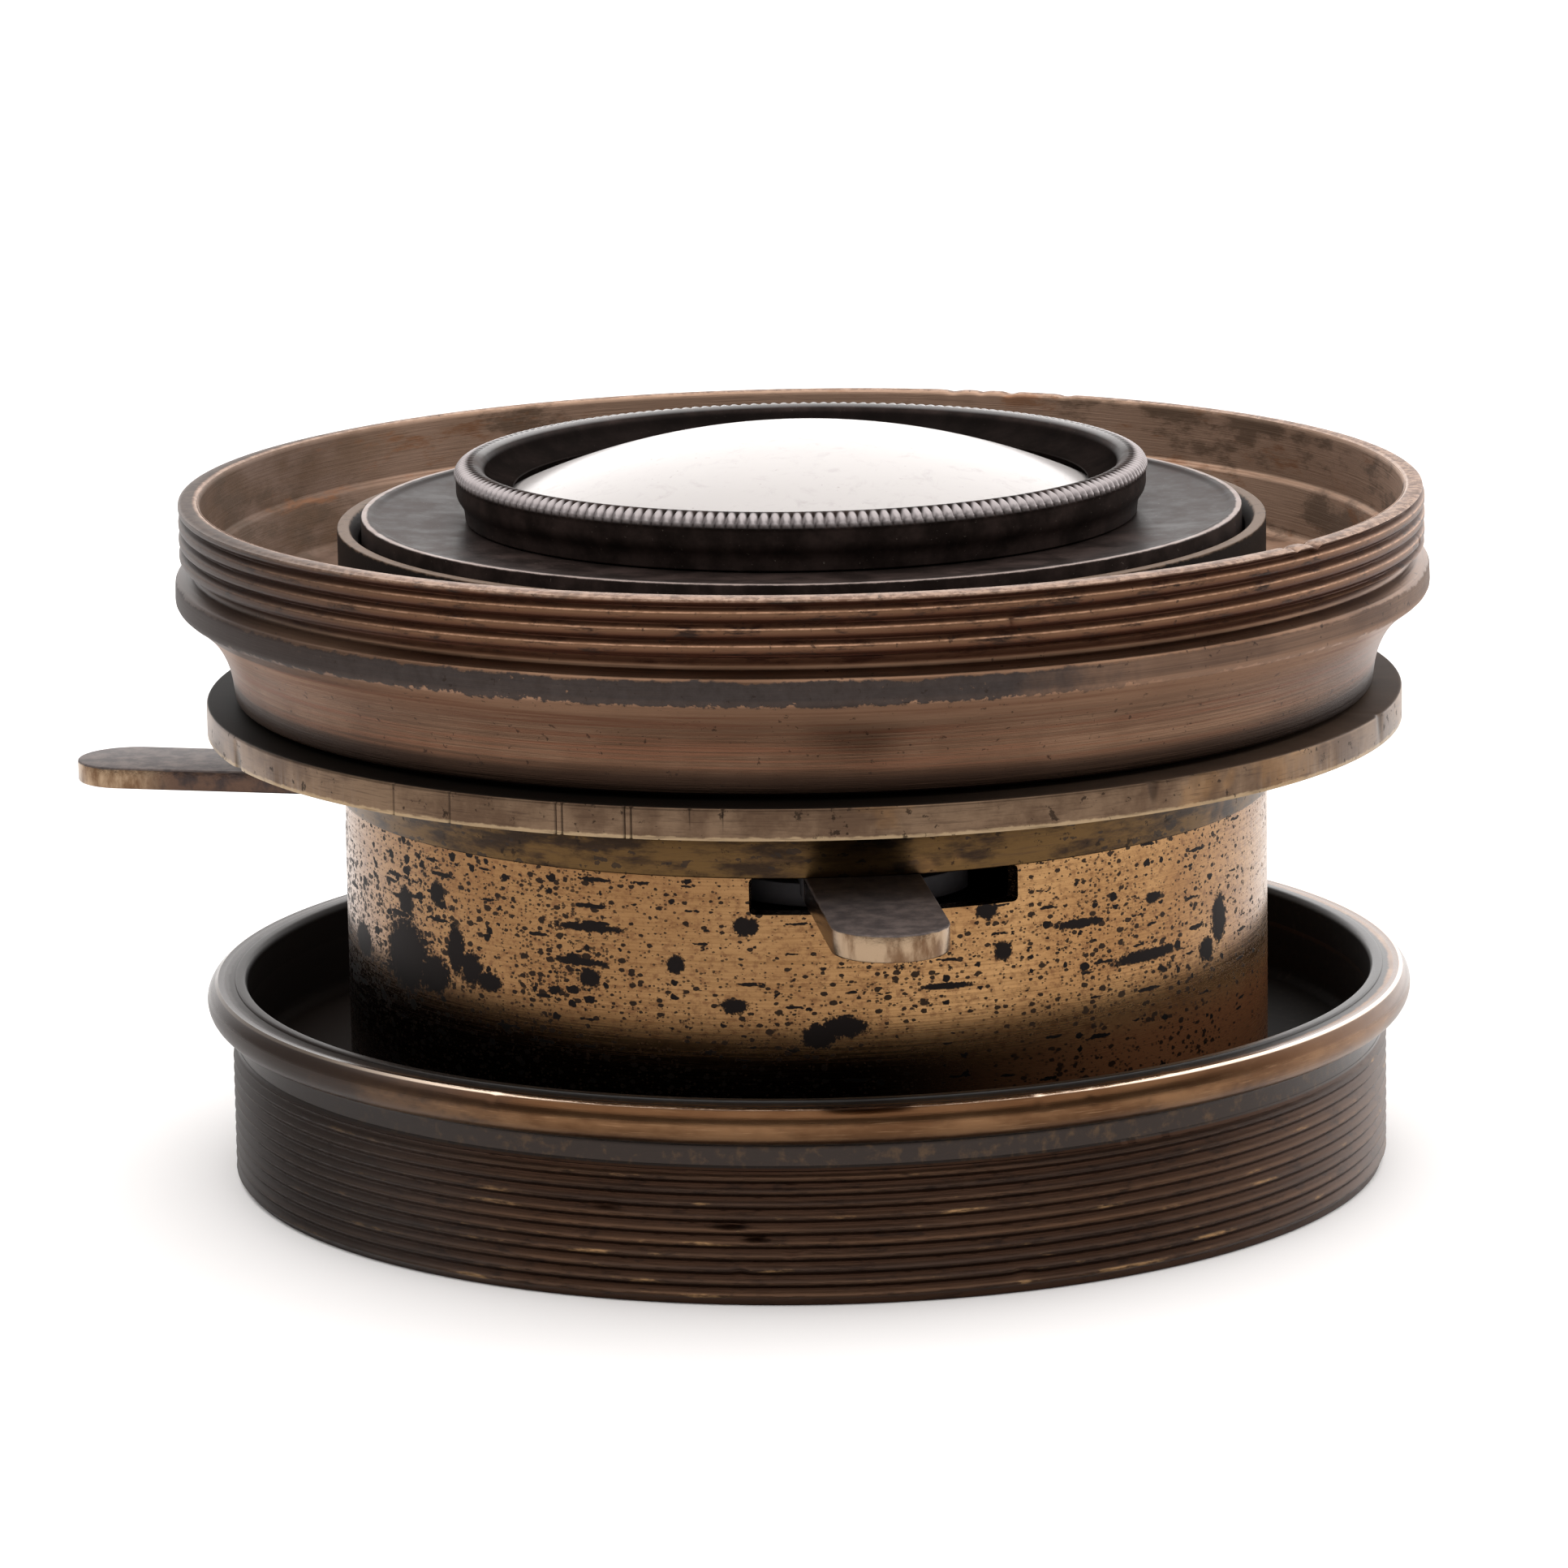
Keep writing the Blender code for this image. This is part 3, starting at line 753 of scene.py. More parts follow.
def brass_tube():
    """Golden lacquered brass with horizontal brushing and black tarnish spots."""
    p = Paint("brass_tube")
    tone = p.noise(0.12, 3, 0.6)
    brushed = p.noise(1.0, 3, 0.6, p.stretched(0.12, 9.0))
    mottled = p.noise(2.6, 5, 0.7, p.stretched(0.8, 1.1), offset=8.0)
    color = p.mix(p.step(tone, 0.35, 0.7), srgb(158, 122, 82), srgb(138, 102, 66))
    color = p.mix(p.scaled(p.step(p.x, 14.0, -8.0), 0.5), color, srgb(106, 78, 52))
    color = p.mix(p.scaled(p.step(brushed, 0.4, 0.75), 0.4), color, srgb(104, 72, 42))
    color = p.mix(p.scaled(p.step(mottled, 0.46, 0.68), 0.6), color, srgb(92, 62, 42))
    wide = p.noise(0.13, 2, 0.5, offset=3.1)
    leftward = p.step(p.x, 5.0, -18.0)
    crowd = p.math("ADD", p.scaled(p.step(wide, 0.4, 0.6), 0.38),
                   p.math("ADD", 0.62, p.scaled(leftward, 0.2)))
    fine = p.spots(4.6, 0.6, 0.8, 1.15, crowd, 2.0)
    small = p.spots(2.3, 0.6, 0.75, 1.15, crowd, 1.0)
    medium = p.spots(1.15, 0.42, 0.8, 1.1, crowd, 4.0, 0.6)
    streak = p.spots(1.1, 0.4, 0.28, 1.9, crowd, 9.0, 0.5)
    islands = p.math("ADD", p.noise(1.25, 9, 0.78, p.stretched(0.7, 1.15), offset=13.0),
                     p.scaled(crowd, 0.05))
    islands = p.step(islands, 0.655, 0.67)
    edge = p.scaled(p.math("SUBTRACT", p.noise(2.3, 7, 0.8, offset=2.2), 0.5), 2.4)
    marks = blotches(p, [
        (-148, 17.9, 2.6, 2.4), (-142, 17.2, 1.6, 1.3), (-137.5, 19.3, 0.8, 1.6),
        (-135, 18.2, 1.0, 1.1), (-132, 17.6, 1.1, 0.6), (-148, 21.5, 0.9, 0.9),
        (-141, 22.7, 0.7, 0.8), (-162, 17.4, 1.7, 1.2), (-117, 22.1, 2.4, 0.26),
        (-118.5, 19.8, 2.0, 0.24), (-117, 18.8, 0.75, 0.6), (-106, 20.1, 0.6, 0.6),
        (-99, 17.5, 0.8, 0.5), (-97.5, 22.7, 0.8, 0.6), (-89, 15.5, 1.1, 0.8),
        (-86, 16.1, 1.4, 0.7), (-66.5, 20.3, 0.6, 0.6), (-68.5, 23.0, 0.7, 0.55),
        (-56, 21.4, 1.9, 0.3), (-45, 18.4, 3.0, 0.4), (-73.5, 18.4, 1.7, 0.22),
        (-44, 22.1, 0.8, 0.35), (-29.8, 19.3, 1.0, 1.6), (-33, 17.5, 0.9, 0.8),
    ], edge)
    dark = p.most(p.scaled(fine, 0.7), p.scaled(small, 0.9), medium, streak, islands,
                  marks)
    halo = p.step(mottled, 0.5, 0.62)
    color = p.mix(p.scaled(p.both(halo, p.step(p.z, 27.0, 24.0)), 0.2), color, srgb(84, 52, 34))
    # Painted reflection: the barrel darkens towards its bottom, higher up on the left, standing for
    # the cup's black inside reflected there. It is reddish brown on the right, standing for the
    # cup's bead reflected there, and the spots are darker within it.
    painted_bead_reflection = p.step(p.x, 2.0, 24.0)
    painted_low_reflection = p.step(p.math("SUBTRACT", p.z, p.scaled(p.step(p.x, -8.0, -26.0), 1.8)), 16.6, 12.5)
    color = p.mix(p.scaled(painted_low_reflection, 0.9), color,
                  p.mix(painted_bead_reflection, srgb(44, 31, 24), srgb(108, 68, 44)))
    color = p.mix(dark, color, p.mix(painted_low_reflection, srgb(32, 27, 26), srgb(12, 10, 9)))
    # The part inside the collar is lacquered black, worn bright along its top edge.
    black = p.step(p.z, 33.0, 33.6)
    rim = p.step(p.math("ADD", p.z, p.scaled(p.noise(1.5), 0.4)), 43.72, 43.9)
    color = p.mix(black, color, srgb(34, 31, 30))
    color = p.mix(p.scaled(rim, 0.7), color, srgb(120, 100, 84))
    metallic = p.math("SUBTRACT", 1.0, p.scaled(p.most(dark, black, p.both(painted_low_reflection, painted_bead_reflection)), 0.8))
    polish = p.blend_value(p.step(brushed, 0.3, 0.7), 0.2, 0.3)
    roughness = p.blend_value(p.most(dark, black), polish, 0.5)
    relief = p.math("ADD", p.scaled(brushed, 0.15), p.scaled(dark, 0.2))
    relief = p.both(relief, p.math("SUBTRACT", 1.0, painted_low_reflection))
    return p.finish(color, roughness, metallic, p.bump(relief, 0.05, 0.5), 0.05)


def turned_bronze():
    """The front collar: brown bronze, dark lacquer left on the shoulder, dirt in the thread, and
    painted highlights and shade.
    """
    p = Paint("turned_bronze")
    tone = p.noise(0.1, 3, 0.6)
    color = p.mix(p.step(tone, 0.35, 0.7), srgb(122, 95, 76), srgb(96, 72, 56))
    lines = p.noise(1.0, 2, 0.7, p.stretched(0.04, 7.0))
    fine = p.noise(1.0, 3, 0.7, p.stretched(0.3, 16.0), offset=2.0)
    color = p.mix(p.scaled(p.step(lines, 0.42, 0.62), 0.45), color, srgb(74, 55, 43))
    color = p.mix(p.scaled(p.step(fine, 0.55, 0.7), 0.3), color, srgb(150, 120, 98))
    # Thread: reddish in the roots, black dirt in places, a painted shade on the lower side of each
    # turn and a patchy painted highlight along each crest's upper edge.
    thread = p.both(p.step(p.z, 41.3, 41.6), p.step(p.radius, 40.25, 40.35))
    root = p.both(thread, p.step(p.radius, 41.36, 41.12))
    soil = p.noise(0.9, 6, 0.7, p.stretched(0.35, 1.4), offset=5.0)
    flank = p.flank(COLLAR_PITCH, COLLAR_THREAD_START)
    color = p.mix(p.scaled(thread, 0.7), color, srgb(108, 78, 57))
    # Painted shade: the lower side of each turn, below its crest, darker.
    color = p.mix(p.both(thread, p.step(flank, 0.16, -0.25)), color, srgb(66, 40, 28))
    color = p.mix(p.both(thread, p.step(soil, 0.5, 0.64)), color, srgb(42, 31, 26))
    worn = p.noise(3.5, 4, 0.65, p.stretched(0.5, 1.0), offset=9.0)
    # Painted highlight: a thin light band along each crest's upper edge, patchy.
    crest = p.both(thread, p.step(p.radius, 41.25, 41.4), p.band(flank, 0.16, 0.25, 0.03))
    color = p.mix(p.both(crest, p.blend_value(p.step(worn, 0.38, 0.62), 0.25, 0.9)), color,
                  srgb(176, 138, 112))
    color = p.mix(p.scaled(root, 0.7), color, srgb(58, 32, 22))
    # Painted highlight: a patchy light band round the collar's top outer edge.
    lip = p.both(p.step(p.z, 45.45, 45.7), p.step(p.radius, 39.9, 40.0))
    color = p.mix(p.both(lip, p.blend_value(p.step(worn, 0.42, 0.6), 0.3, 0.8)), color,
                  srgb(166, 140, 122))
    # Lacquer band on the shoulder chamfer, with a ragged lower edge.
    ragged = p.math("ADD", p.z, p.scaled(p.math("SUBTRACT", p.noise(0.9, 6, 0.75), 0.5),
                                         1.8))
    upper = p.math("ADD", p.z, p.scaled(p.noise(0.8, 5, 0.7, offset=3.3), 1.0))
    # Painted light: the upper part of the cone, below the shoulder, lighter and less metallic.
    pale = p.both(p.step(p.z, 36.0, 38.6), p.step(p.z, 39.5, 39.3), p.step(p.radius, 38.4, 39.2))
    color = p.mix(p.scaled(pale, 0.6), color, srgb(150, 116, 92))
    band = p.both(p.step(ragged, 38.95, 39.05), p.step(upper, 41.15, 41.0),
                  p.step(p.radius, 41.0, 41.2))
    kept = p.step(p.math("ADD", p.x, p.scaled(p.noise(0.15, 5, 0.7), 24.0)), 34.0, 24.0)
    # Painted shade: the foot of the cone, just above the flange, darkened.
    foot = p.both(p.step(p.z, 35.0, 33.6), p.step(p.radius, 36.5, 37.0))
    color = p.mix(p.scaled(foot, 0.85), color, srgb(34, 25, 21))
    red = p.noise(1.0, 3, 0.6, p.stretched(0.05, 3.0), offset=12.0)
    color = p.mix(p.both(p.step(red, 0.45, 0.65), p.step(p.z, 39.0, 38.0),
                         p.step(p.z, 33.6, 35.0)), color, srgb(112, 78, 60))
    flaked = p.step(p.noise(2.2, 5, 0.7, offset=4.0), 0.7, 0.64)
    color = p.mix(p.both(band, flaked, p.blend_value(kept, 0.3, 0.92)), color,
                  p.mix(p.noise(1.3, 5, 0.7, offset=8.0), srgb(26, 24, 24), srgb(66, 61, 60)))
    specks = p.step(p.noise(1.9, 5, 0.65, offset=6.0), 0.62, 0.66)
    color = p.mix(p.scaled(specks, 0.7), color, srgb(40, 31, 27))
    # Inside: dull grey-brown.
    inside = p.both(p.step(p.radius, 40.2, 40.0), p.step(p.z, 38.0, 38.2))
    patina = p.mix(p.step(p.noise(0.2, 4, 0.6, p.stretched(0.6, 1.4)), 0.35, 0.65),
                   srgb(120, 100, 88), srgb(92, 72, 56))
    # Painted light: the inner wall lighter on its far side, towards the back and right.
    far = p.mix(tone, srgb(204, 172, 150), srgb(164, 136, 114))
    far_side = p.step(p.math("ADD", p.y, p.scaled(p.x, 0.7)), -6.0, 24.0)
    patina = p.mix(p.scaled(far_side, 0.85), patina, far)
    stained = p.step(p.noise(0.13, 6, 0.7, p.stretched(0.7, 2.0), offset=11.0), 0.5, 0.6)
    patina = p.mix(p.scaled(stained, 0.65), patina, srgb(74, 62, 50))
    rust = p.step(p.noise(0.2, 6, 0.7, p.stretched(0.6, 2.2), offset=14.0), 0.56, 0.66)
    patina = p.mix(p.scaled(rust, 0.65), patina, srgb(142, 94, 60))
    patina = p.mix(p.scaled(p.step(fine, 0.5, 0.66), 0.3), patina, srgb(60, 46, 38))
    color = p.mix(p.scaled(inside, 0.8), color, patina)
    # Painted shade: the outer thread and shoulder darker on the left side, and not metallic there.
    left = p.scaled(p.step(p.x, -22.0, -39.0), 0.85)
    color = p.mix(p.both(left, p.step(p.radius, 40.3, 40.5)), color, srgb(44, 35, 31))
    roughness = p.blend_value(band, p.blend_value(p.most(inside, root), 0.38, 0.5), 0.5)
    metallic = p.math("SUBTRACT", 1.0, p.most(left, p.scaled(band, 0.8), p.scaled(pale, 0.6),
                                                 p.scaled(thread, 0.45)))
    relief = p.math("ADD", p.scaled(lines, 0.4), p.scaled(fine, 0.35))
    relief = p.math("ADD", relief, p.scaled(soil, 0.25))
    return p.finish(color, roughness, metallic, p.bump(relief, 0.06, 0.6), 0.06)


def flange_brass():
    """The index flange: grey-brown brass, a painted highlight along its lower edge and a yellower
    hub.
    """
    p = Paint("flange_brass")
    tone = p.noise(0.22, 5, 0.65)
    color = p.mix(p.step(tone, 0.38, 0.62), srgb(112, 92, 74), srgb(86, 68, 54))
    hub = p.math("MULTIPLY", p.step(p.z, 30.4, 30.1), p.step(p.radius, 38.6, 37.6))
    hub_tone = p.mix(p.step(p.noise(0.4, 5, 0.65, p.stretched(0.5, 1.6)), 0.42, 0.62),
                     srgb(88, 67, 41), srgb(46, 36, 28))
    hub_spots = p.spots(1.5, 0.5, 0.6, 1.2, None, 3.0, 0.6)
    hub_tone = p.mix(p.scaled(hub_spots, 0.8), hub_tone, srgb(44, 38, 34))
    color = p.mix(hub, color, hub_tone)
    # Painted highlight: a bright band with a ragged edge along the rim's lower edge.
    ragged = p.math("ADD", p.z, p.scaled(p.noise(1.2, 4, 0.6), 0.35))
    edge = p.both(p.step(p.radius, 39.2, 39.6), p.step(ragged, 30.66, 30.52))
    color = p.mix(p.scaled(edge, 0.6), color, srgb(172, 150, 118))
    bright = p.both(p.step(p.noise(0.12, 4, 0.6, offset=6.0), 0.55, 0.62), p.step(p.x, 0.0, 6.0))
    color = p.mix(p.scaled(bright, 0.25), color, srgb(150, 112, 70))
    top = p.step(p.z, 32.2, 32.28)
    grain = p.noise(1.0, 3, 0.6, p.stretched(0.4, 7.0))
    color = p.mix(p.scaled(p.step(grain, 0.5, 0.7), 0.4), color, srgb(60, 46, 38))
    specks = p.step(p.noise(1.5, 5, 0.65, offset=3.0), 0.6, 0.65)
    color = p.mix(p.scaled(specks, 0.75), color, srgb(42, 34, 28))
    engraved = p.both(p.step(p.radius, 39.88, 39.82), p.step(p.radius, 39.5, 39.6))
    color = p.mix(p.scaled(engraved, 0.55), color, srgb(36, 30, 26))
    # The top face, under the collar's cone: dark, partly lacquer and partly painted shade, lighter
    # towards the right end.
    top_color = p.mix(p.step(p.x, 0.0, 34.0),
                      p.mix(tone, srgb(17, 14, 12), srgb(28, 23, 19)),
                      p.mix(tone, srgb(44, 35, 29), srgb(84, 68, 56)))
    color = p.mix(top, color, top_color)
    roughness = p.blend_value(top, p.blend_value(specks, 0.36, 0.55), 0.6)
    metallic = p.math("SUBTRACT", 1.0, p.scaled(top, 0.9))
    relief = p.math("ADD", p.scaled(grain, 0.4), p.scaled(tone, 0.3))
    return p.finish(color, roughness, metallic, p.bump(relief, 0.05, 0.5), 0.03)


def cup_bronze():
    """The rear cup: brass bead, black inner lip and neck, dark thread with worn crests."""
    p = Paint("cup_bronze")
    tone = p.noise(0.25, 4, 0.6, p.stretched(0.5, 1.2))
    bead = p.mix(p.step(tone, 0.4, 0.65), srgb(118, 88, 62), srgb(88, 62, 42))
    scratch = p.noise(1.0, 4, 0.7, p.stretched(0.35, 8.0), offset=2.0)
    bead = p.mix(p.scaled(p.step(scratch, 0.52, 0.7), 0.45), bead, srgb(150, 118, 88))
    blackened = p.math("ADD", p.noise(0.35, 5, 0.7, p.stretched(0.5, 1.0), offset=7.0),
                       p.scaled(p.step(p.x, -14.0, -36.0), 0.24))
    bead = p.mix(p.scaled(p.step(blackened, 0.56, 0.74), 0.7), bead, srgb(56, 46, 40))
    flank = p.flank(CUP_PITCH)
    # Painted reflection: the bead's upper part darker brown, standing for the dark barrel reflected
    # in it.
    upper = p.both(p.step(p.z, 12.1, 12.5), p.step(p.radius, 39.2, 39.4))
    bead = p.mix(p.scaled(upper, 0.75), bead, srgb(66, 43, 26))
    # Painted highlight: a thin bright line round the top of the bead, which is glossier there too.
    painted_bead_highlight = p.both(p.band(p.radius, CUP.radius - 0.74, CUP.radius - 0.52, 0.04),
                      p.step(p.z, 12.5, 12.8))
    bead = p.mix(p.scaled(painted_bead_highlight, 0.9), bead, srgb(232, 210, 188))
    crest = p.both(p.step(p.radius, 38.5, 38.84), p.blend_value(p.step(flank, -0.3, 0.1), 0.4, 1.0))
    turns = p.noise(1.0, 3, 0.6, p.stretched(0.05, 1.3), offset=1.5)
    metal = p.mix(p.step(turns, 0.38, 0.62), srgb(80, 60, 46), srgb(50, 41, 36))
    thread = p.mix(p.scaled(crest, 0.8), srgb(62, 44, 34), metal)
    soil = p.noise(1.2, 5, 0.7, p.stretched(0.4, 1.6), offset=6.0)
    thread = p.mix(p.scaled(p.step(soil, 0.52, 0.66), 0.6), thread, srgb(32, 26, 24))
    wear = p.noise(0.5, 6, 0.7, p.stretched(0.35, 1.5), offset=4.0)
    rubbed = p.both(p.step(p.radius, 38.7, 38.86), p.step(wear, 0.55, 0.68))
    thread = p.mix(p.scaled(rubbed, 0.8), thread, srgb(160, 126, 88))
    below = p.step(p.z, 8.95, 8.85)
    neck = p.mix(p.step(p.noise(1.2, 5, 0.6), 0.5, 0.72), srgb(54, 48, 45), srgb(76, 62, 50))
    color = p.mix(p.step(p.z, 10.75, 10.6), bead, neck)
    color = p.mix(below, color, thread)
    ragged = p.math("ADD", p.radius, p.scaled(p.noise(0.8, 5, 0.65), 0.5))
    lip = p.both(p.step(ragged, 39.35, 39.15), p.step(p.z, 10.9, 11.0))
    inside = p.both(p.step(p.radius, 37.9, 37.7), p.step(p.z, 5.0, 6.0))
    dust = p.noise(1.4, 6, 0.7)
    black = p.mix(p.scaled(p.step(dust, 0.5, 0.8), 0.4), srgb(26, 23, 21), srgb(70, 62, 56))
    coated = p.most(lip, inside)
    color = p.mix(coated, color, black)
    # Darker on the left side and not metallic there: partly dark lacquer and patina, partly painted
    # shade.
    left = p.scaled(p.step(p.x, -16.0, -35.0), 0.9)
    color = p.mix(left, color, srgb(40, 34, 31))
    metallic = p.math("SUBTRACT", 1.0, p.most(p.scaled(coated, 0.95), left))
    shine = p.blend_value(painted_bead_highlight, p.blend_value(upper, 0.3, 0.2), 0.08)
    roughness = p.blend_value(coated, p.blend_value(below, shine, 0.42),
                              p.blend_value(inside, 0.35, 0.6))
    relief = p.math("ADD", p.scaled(scratch, 0.3), p.scaled(wear, 0.4))
    return p.finish(color, roughness, metallic, p.bump(relief, 0.06, 0.5),
                    p.both(p.blend_value(inside, 0.4, 0.03), p.math("SUBTRACT", 1.0, left)))


def black_lacquer(name, edges, specular=0.04, teeth=False):
    """Black lacquered brass, worn bright on the rims at edges, a list of (radius, height),
    and, with teeth, on the knurled ring's teeth too, partly wear and partly a painted highlight.
    """
    p = Paint(name)
    smear = p.noise(0.35, 5, 0.65)
    color = p.mix(p.step(smear, 0.35, 0.7), srgb(31, 25, 23), srgb(54, 44, 41))
    dust = p.step(p.noise(4.5, 4, 0.6, offset=1.0), 0.66, 0.7)
    color = p.mix(p.scaled(dust, 0.5), color, srgb(120, 112, 104))
    rough_edge = p.scaled(p.math("SUBTRACT", p.noise(0.9, 5, 0.7, offset=5.0), 0.5), 0.35)
    worn = 0.0
    for radius, height in edges:
        away = p.math("ADD", p.math("ABSOLUTE", p.math("SUBTRACT", p.radius, radius)),
                      p.math("ABSOLUTE", p.math("SUBTRACT", p.z, height)))
        worn = p.most(p.step(p.math("ADD", away, rough_edge), 0.26, 0.1), worn)
    roughness = p.blend_value(p.step(smear, 0.3, 0.7), 0.34, 0.5)
    bare = srgb(150, 134, 127)
    if teeth:
        # The knurled teeth's light tips: partly wear, partly a painted highlight.
        slope = p.math("ADD", p.radius, p.math("SUBTRACT", p.z, RING.high))
        rubbed = p.both(p.step(slope, 22.0, 22.35), p.step(p.z, RING.high - 1.15, RING.high - 0.9),
                        p.step(p.radius, 21.9, 22.2))
        worn = p.most(rubbed, worn)
        bare = srgb(172, 165, 165)
    color = p.mix(p.scaled(worn, 0.75), color, bare)
    if teeth:
        face = p.both(p.step(p.radius, 21.3, 21.0), p.step(p.z, 45.9, 46.1))
        color = p.mix(p.scaled(face, 0.8), color, srgb(16, 14, 13))
        crown = p.both(p.step(p.z, RING.high - 0.3, RING.high - 0.1), p.step(p.y, 0.0, 12.0))
        specular = p.blend_value(crown, p.blend_value(face, specular, 0.0), 1.0)
        roughness = p.blend_value(crown, roughness, 0.26)
    return p.finish(color, roughness, p.scaled(worn, 0.8), p.bump(smear, 0.03, 0.3), specular)


def lever_metal():
    """Lever: blackened faces, edges and end rubbed back to bright brass."""
    p = Paint("lever_metal")
    tone = p.noise(0.8, 5, 0.65)
    black = p.mix(p.step(tone, 0.35, 0.7), srgb(72, 66, 65), srgb(104, 94, 90))
    brass = p.mix(p.step(p.noise(0.9, 5, 0.6, p.stretched(1.0, 0.4), offset=3.0), 0.4, 0.62),
                  srgb(152, 130, 106), srgb(100, 76, 56))
    inset = p.math("SUBTRACT", LEVER_TOP, p.z)
    side = p.step(p.math("ADD", inset, p.scaled(tone, 0.25)), 0.2, 0.3)
    tip = p.step(p.radius, 43.0, 46.5)
    brown = p.mix(p.step(tone, 0.4, 0.65), srgb(84, 66, 56), srgb(58, 50, 48))
    color = p.mix(side, black, p.mix(tip, brown, brass))
    buried = p.step(p.radius, 31.0, 30.0)
    color = p.mix(buried, color, p.mix(tone, srgb(62, 60, 62), srgb(78, 76, 78)))
    roughness = p.blend_value(buried, p.blend_value(side, 0.55, 0.26), 0.7)
    metallic = p.blend_value(side, 0.35, 1.0)
    metallic = p.both(metallic, p.math("SUBTRACT", 1.0, buried))
    return p.finish(color, roughness, metallic, p.bump(tone, 0.08, 0.5), 0.1)


def iris_steel():
    """Blackened steel of the leaves, the rings round them and the screws."""
    p = Paint("iris_steel")
    grain = p.noise(2.0, 4, 0.6)
    color = p.mix(p.step(grain, 0.4, 0.7), srgb(40, 40, 44), srgb(60, 58, 60))
    return p.finish(color, p.blend_value(grain, 0.35, 0.5), 0.9, p.bump(grain, 0.02, 0.3))


def optical_glass():
    """Glass under a pale haze, partly dust and partly a painted sheen for the glass's reflections,
    with faint smears and specks.
    """
    p = Paint("optical_glass")
    smear = p.step(p.noise(0.45, 6, 0.7, p.place, 1.2, 2.0), 0.5, 0.75)
    specks = p.step(p.noise(2.4, 5, 0.7, offset=7.0), 0.64, 0.68)
    # Pale tint: partly dust, partly a painted sheen standing in for the reflections that whiten the
    # glass.
    tint = p.mix(p.scaled(smear, 0.9), (0.59, 0.56, 0.545), (0.47, 0.44, 0.425))
    tint = p.mix(p.scaled(specks, 0.6), tint, (0.36, 0.33, 0.31))
    p.put(tint, p.shader.inputs["Base Color"])
    p.shader.inputs["Roughness"].default_value = 0.22
    p.shader.inputs["Transmission Weight"].default_value = 1 - DUST_AND_SHEEN
    p.shader.inputs["IOR"].default_value = 1.52
    p.shader.inputs["Specular IOR Level"].default_value = 0.3
    return p.material


def pale_floor():
    """Matt white, the plainest of the materials."""
    material = bpy.data.materials.new("pale_floor")
    material.use_nodes = True
    shader = material.node_tree.nodes["Principled BSDF"]
    shader.inputs["Base Color"].default_value = (0.92, 0.915, 0.91, 1)
    shader.inputs["Roughness"].default_value = 0.9
    return material


def dress(obj, material):
    obj.data.materials.clear()
    obj.data.materials.append(material)
    for polygon in obj.data.polygons:
        polygon.material_index = 0
    return obj


# ---------------------------------------------------------------- the lens

def show(piece, node, body, material):
    """Puts a fine piece in its CAD node's place."""
    dress(piece, material)
    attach(piece, body)
    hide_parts(node)


LACQUER = black_lacquer("cell_lacquer", [(29.1, 44.4), (23.0, 44.2)])
RING_LACQUER = black_lacquer("ring_lacquer", [], specular=0.02, teeth=True)
REAR_LACQUER = black_lacquer("rear_lacquer", [(32.6, 2.9), (20.9, 2.9)])
GLASS = optical_glass()
STEEL = iris_steel()
LEVER = lever_metal()

show(make_collar(), "front_collar", "mount", turned_bronze())
show(make_flange(), "index_flange", "mount", flange_brass())
show(make_cup(), "rear_cup", "mount", cup_bronze())
show(make_barrel(), "barrel", "mount", brass_tube())
show(make_cell(), "front_cell", "mount", LACQUER)
show(make_ring(), "front_retaining_ring", "mount", RING_LACQUER)
show(make_rear_cell(), "rear_cell", "mount", REAR_LACQUER)
show(make_rear_ring(), "rear_retaining_ring", "mount", REAR_LACQUER)

show(make_lens("front_crown_lens", FRONT_GLASS_RADIUS, (49.6, 48.0), (38.9, -40.0)),
     "front_crown_glass", "mount", GLASS)
show(make_lens("front_flint_lens", FRONT_GLASS_RADIUS, (38.6, -40.0), (37.5, 400.0)),
     "front_flint_glass", "mount", GLASS)
show(make_lens("rear_flint_lens", REAR_GLASS_RADIUS, (12.9, 120.0), (11.1, 60.0)),
     "rear_flint_glass", "mount", GLASS)
show(make_lens("rear_crown_lens", REAR_GLASS_RADIUS, (9.2, 60.0), (1.4, -75.0)),
     "rear_crown_glass", "mount", GLASS)

show(make_lever("front_lever_bar", FRONT_SLOT_AZIMUTH + LEVER_FROM_SLOT, 48.0, 24.15),
     "front_lever", "iris_ring", LEVER)
show(make_lever("side_lever_bar", SIDE_SLOT_AZIMUTH + LEVER_FROM_SLOT, 50.8, 24.45),
     "side_lever", "iris_ring", LEVER)

for name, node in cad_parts.items():
    if name.startswith(("iris_", "lever_screw")):
        dress(node, STEEL)
    elif name == "rear_spacer_ring":
        dress(node, REAR_LACQUER)


# ---------------------------------------------------------------- studio and camera

FRONT_STRENGTH = 0.4
BACK_STRENGTH = 2.3
SIDE_WEIGHT = 0.5
BACK_EDGE = (0.2, 0.85)
CEILING_EDGE = (0.5, 0.78)
FLOOR_SIZE = 6
FLOOR_GAP = 0.02 * MM


def make_floor():
    bpy.ops.mesh.primitive_plane_add(size=FLOOR_SIZE, location=(0, 0, BASE_Z - FLOOR_GAP))
    floor = bpy.context.object
    floor.name = "floor"
    floor.data.materials.append(pale_floor())


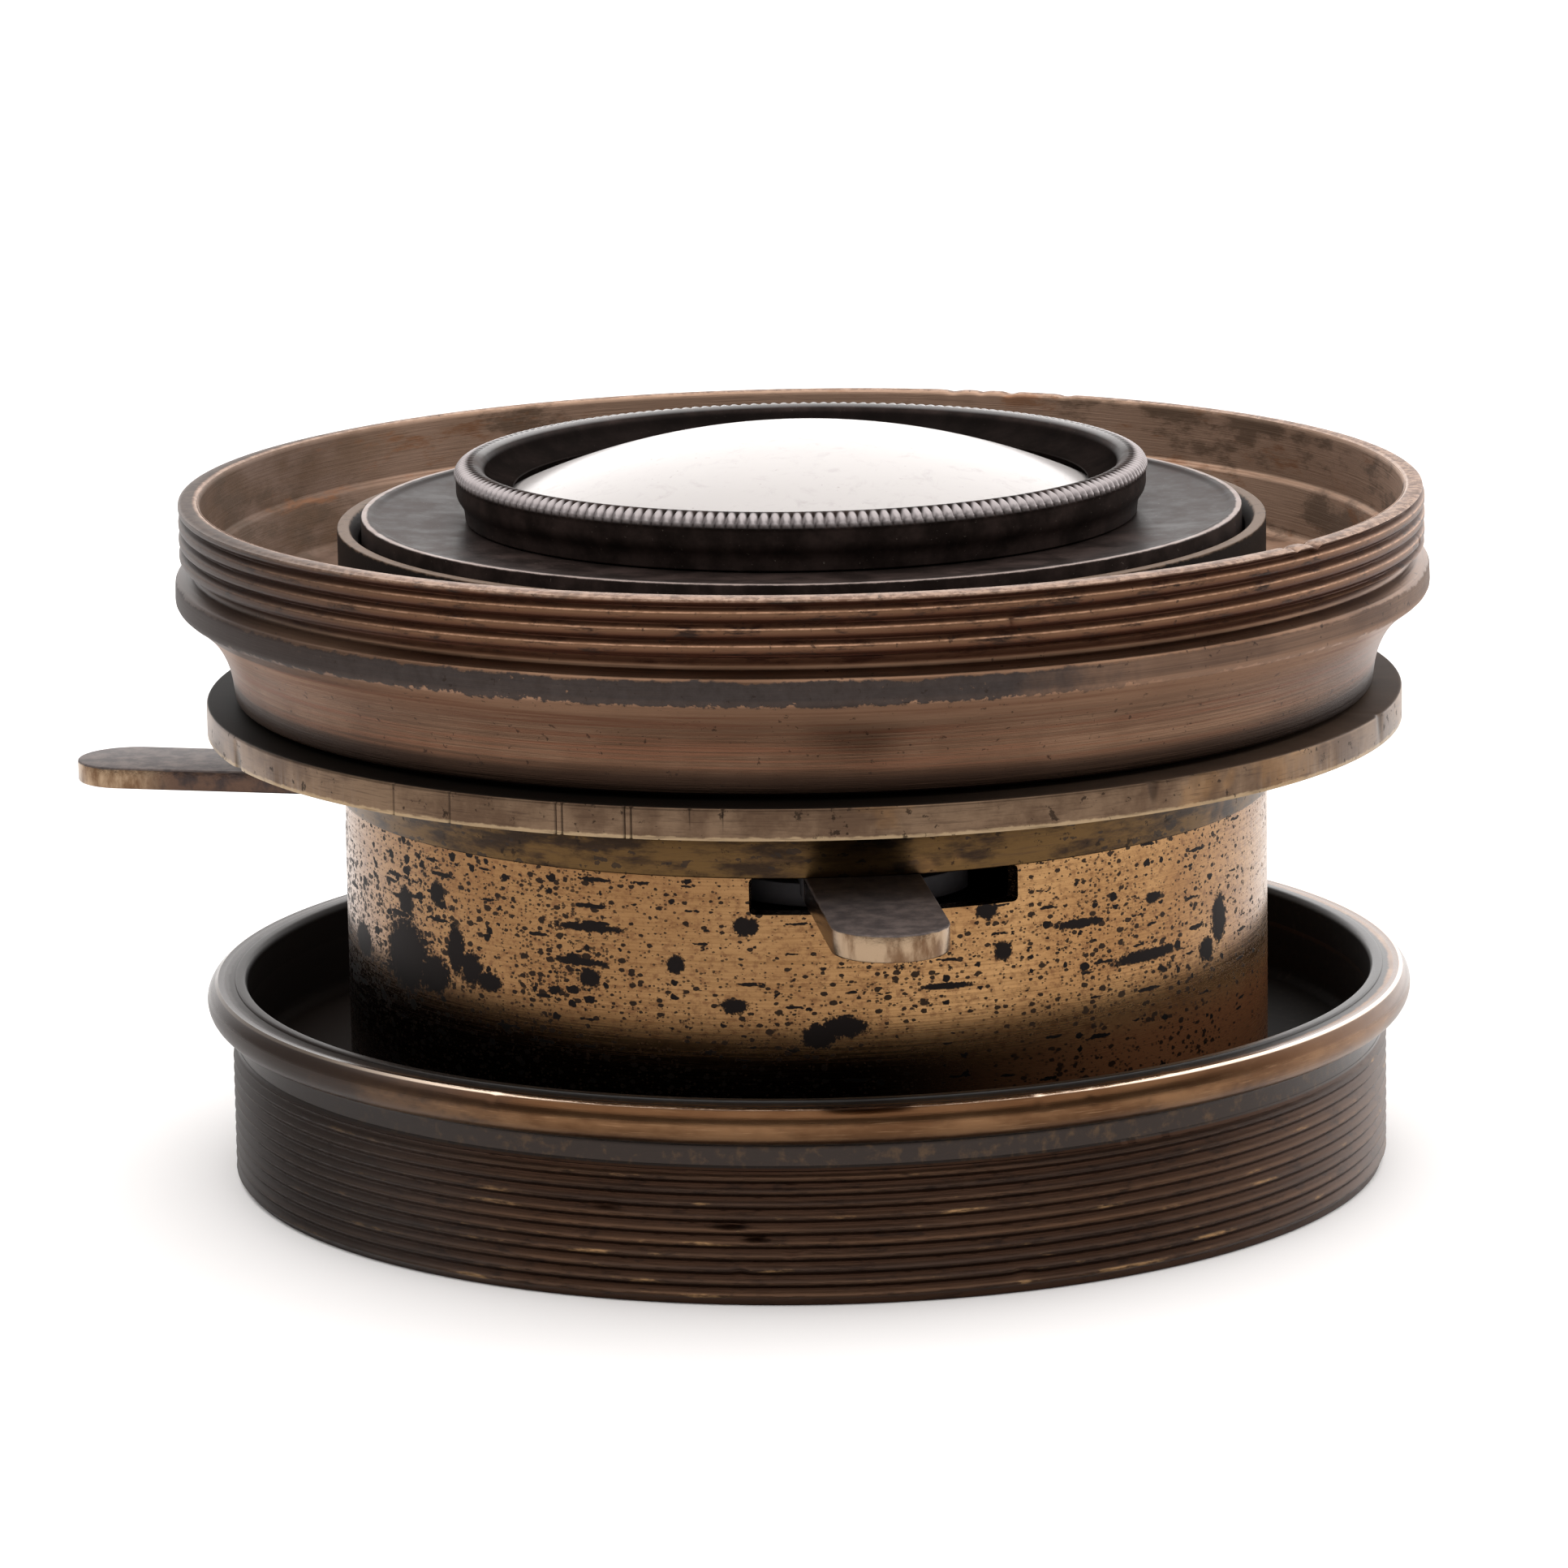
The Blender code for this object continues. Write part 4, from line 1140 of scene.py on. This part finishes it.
def make_world():
    """A white studio: bright above and behind the lens, dim where the camera stands."""
    world = bpy.data.worlds.new("studio")
    bpy.context.scene.world = world
    world.use_nodes = True
    nodes, links = world.node_tree.nodes, world.node_tree.links
    background = nodes["Background"]
    direction = nodes.new("ShaderNodeTexCoord").outputs["Generated"]
    split = nodes.new("ShaderNodeSeparateXYZ")
    links.new(direction, split.inputs[0])

    def rise(socket, low, high):
        node = nodes.new("ShaderNodeMapRange")
        node.interpolation_type = "SMOOTHSTEP"
        links.new(socket, node.inputs[0])
        node.inputs[1].default_value = low
        node.inputs[2].default_value = high
        return node.outputs[0]

    aside = nodes.new("ShaderNodeMath")
    aside.operation = "MULTIPLY_ADD"
    links.new(split.outputs["X"], aside.inputs[0])
    aside.inputs[1].default_value = SIDE_WEIGHT
    links.new(split.outputs["Y"], aside.inputs[2])
    behind = rise(aside.outputs[0], *BACK_EDGE)
    above = rise(split.outputs["Z"], *CEILING_EDGE)
    most = nodes.new("ShaderNodeMath")
    most.operation = "MAXIMUM"
    links.new(behind, most.inputs[0])
    links.new(above, most.inputs[1])
    strength = nodes.new("ShaderNodeMapRange")
    links.new(most.outputs[0], strength.inputs[0])
    strength.inputs[3].default_value = FRONT_STRENGTH
    strength.inputs[4].default_value = BACK_STRENGTH
    links.new(strength.outputs[0], background.inputs["Strength"])
    background.inputs["Color"].default_value = (1.0, 0.975, 0.965, 1)


def make_camera():
    """A long lens, a little above the object and rolled slightly."""
    distance = 0.529
    elevation, roll = radians(11.91), radians(-0.94)
    aside, lift = -0.00145, 0.02488
    forward = Vector((0, cos(elevation), -sin(elevation)))
    up = Vector((0, sin(elevation), cos(elevation)))
    right = Vector((1, 0, 0))
    across = right * cos(roll) + up * sin(roll)
    upward = up * cos(roll) - right * sin(roll)
    place = right * aside + up * lift - forward * distance
    place.z += BASE_Z
    camera = bpy.data.cameras.new("camera")
    camera.sensor_width = 36
    camera.lens = 179.2
    obj = bpy.data.objects.new("camera", camera)
    bpy.context.scene.collection.objects.link(obj)
    turn = Matrix((across, upward, -forward)).transposed()
    obj.matrix_world = Matrix.Translation(place) @ turn.to_4x4()
    bpy.context.scene.camera = obj


make_floor()
make_world()
make_camera()
bpy.context.scene.view_settings.view_transform = "Standard"
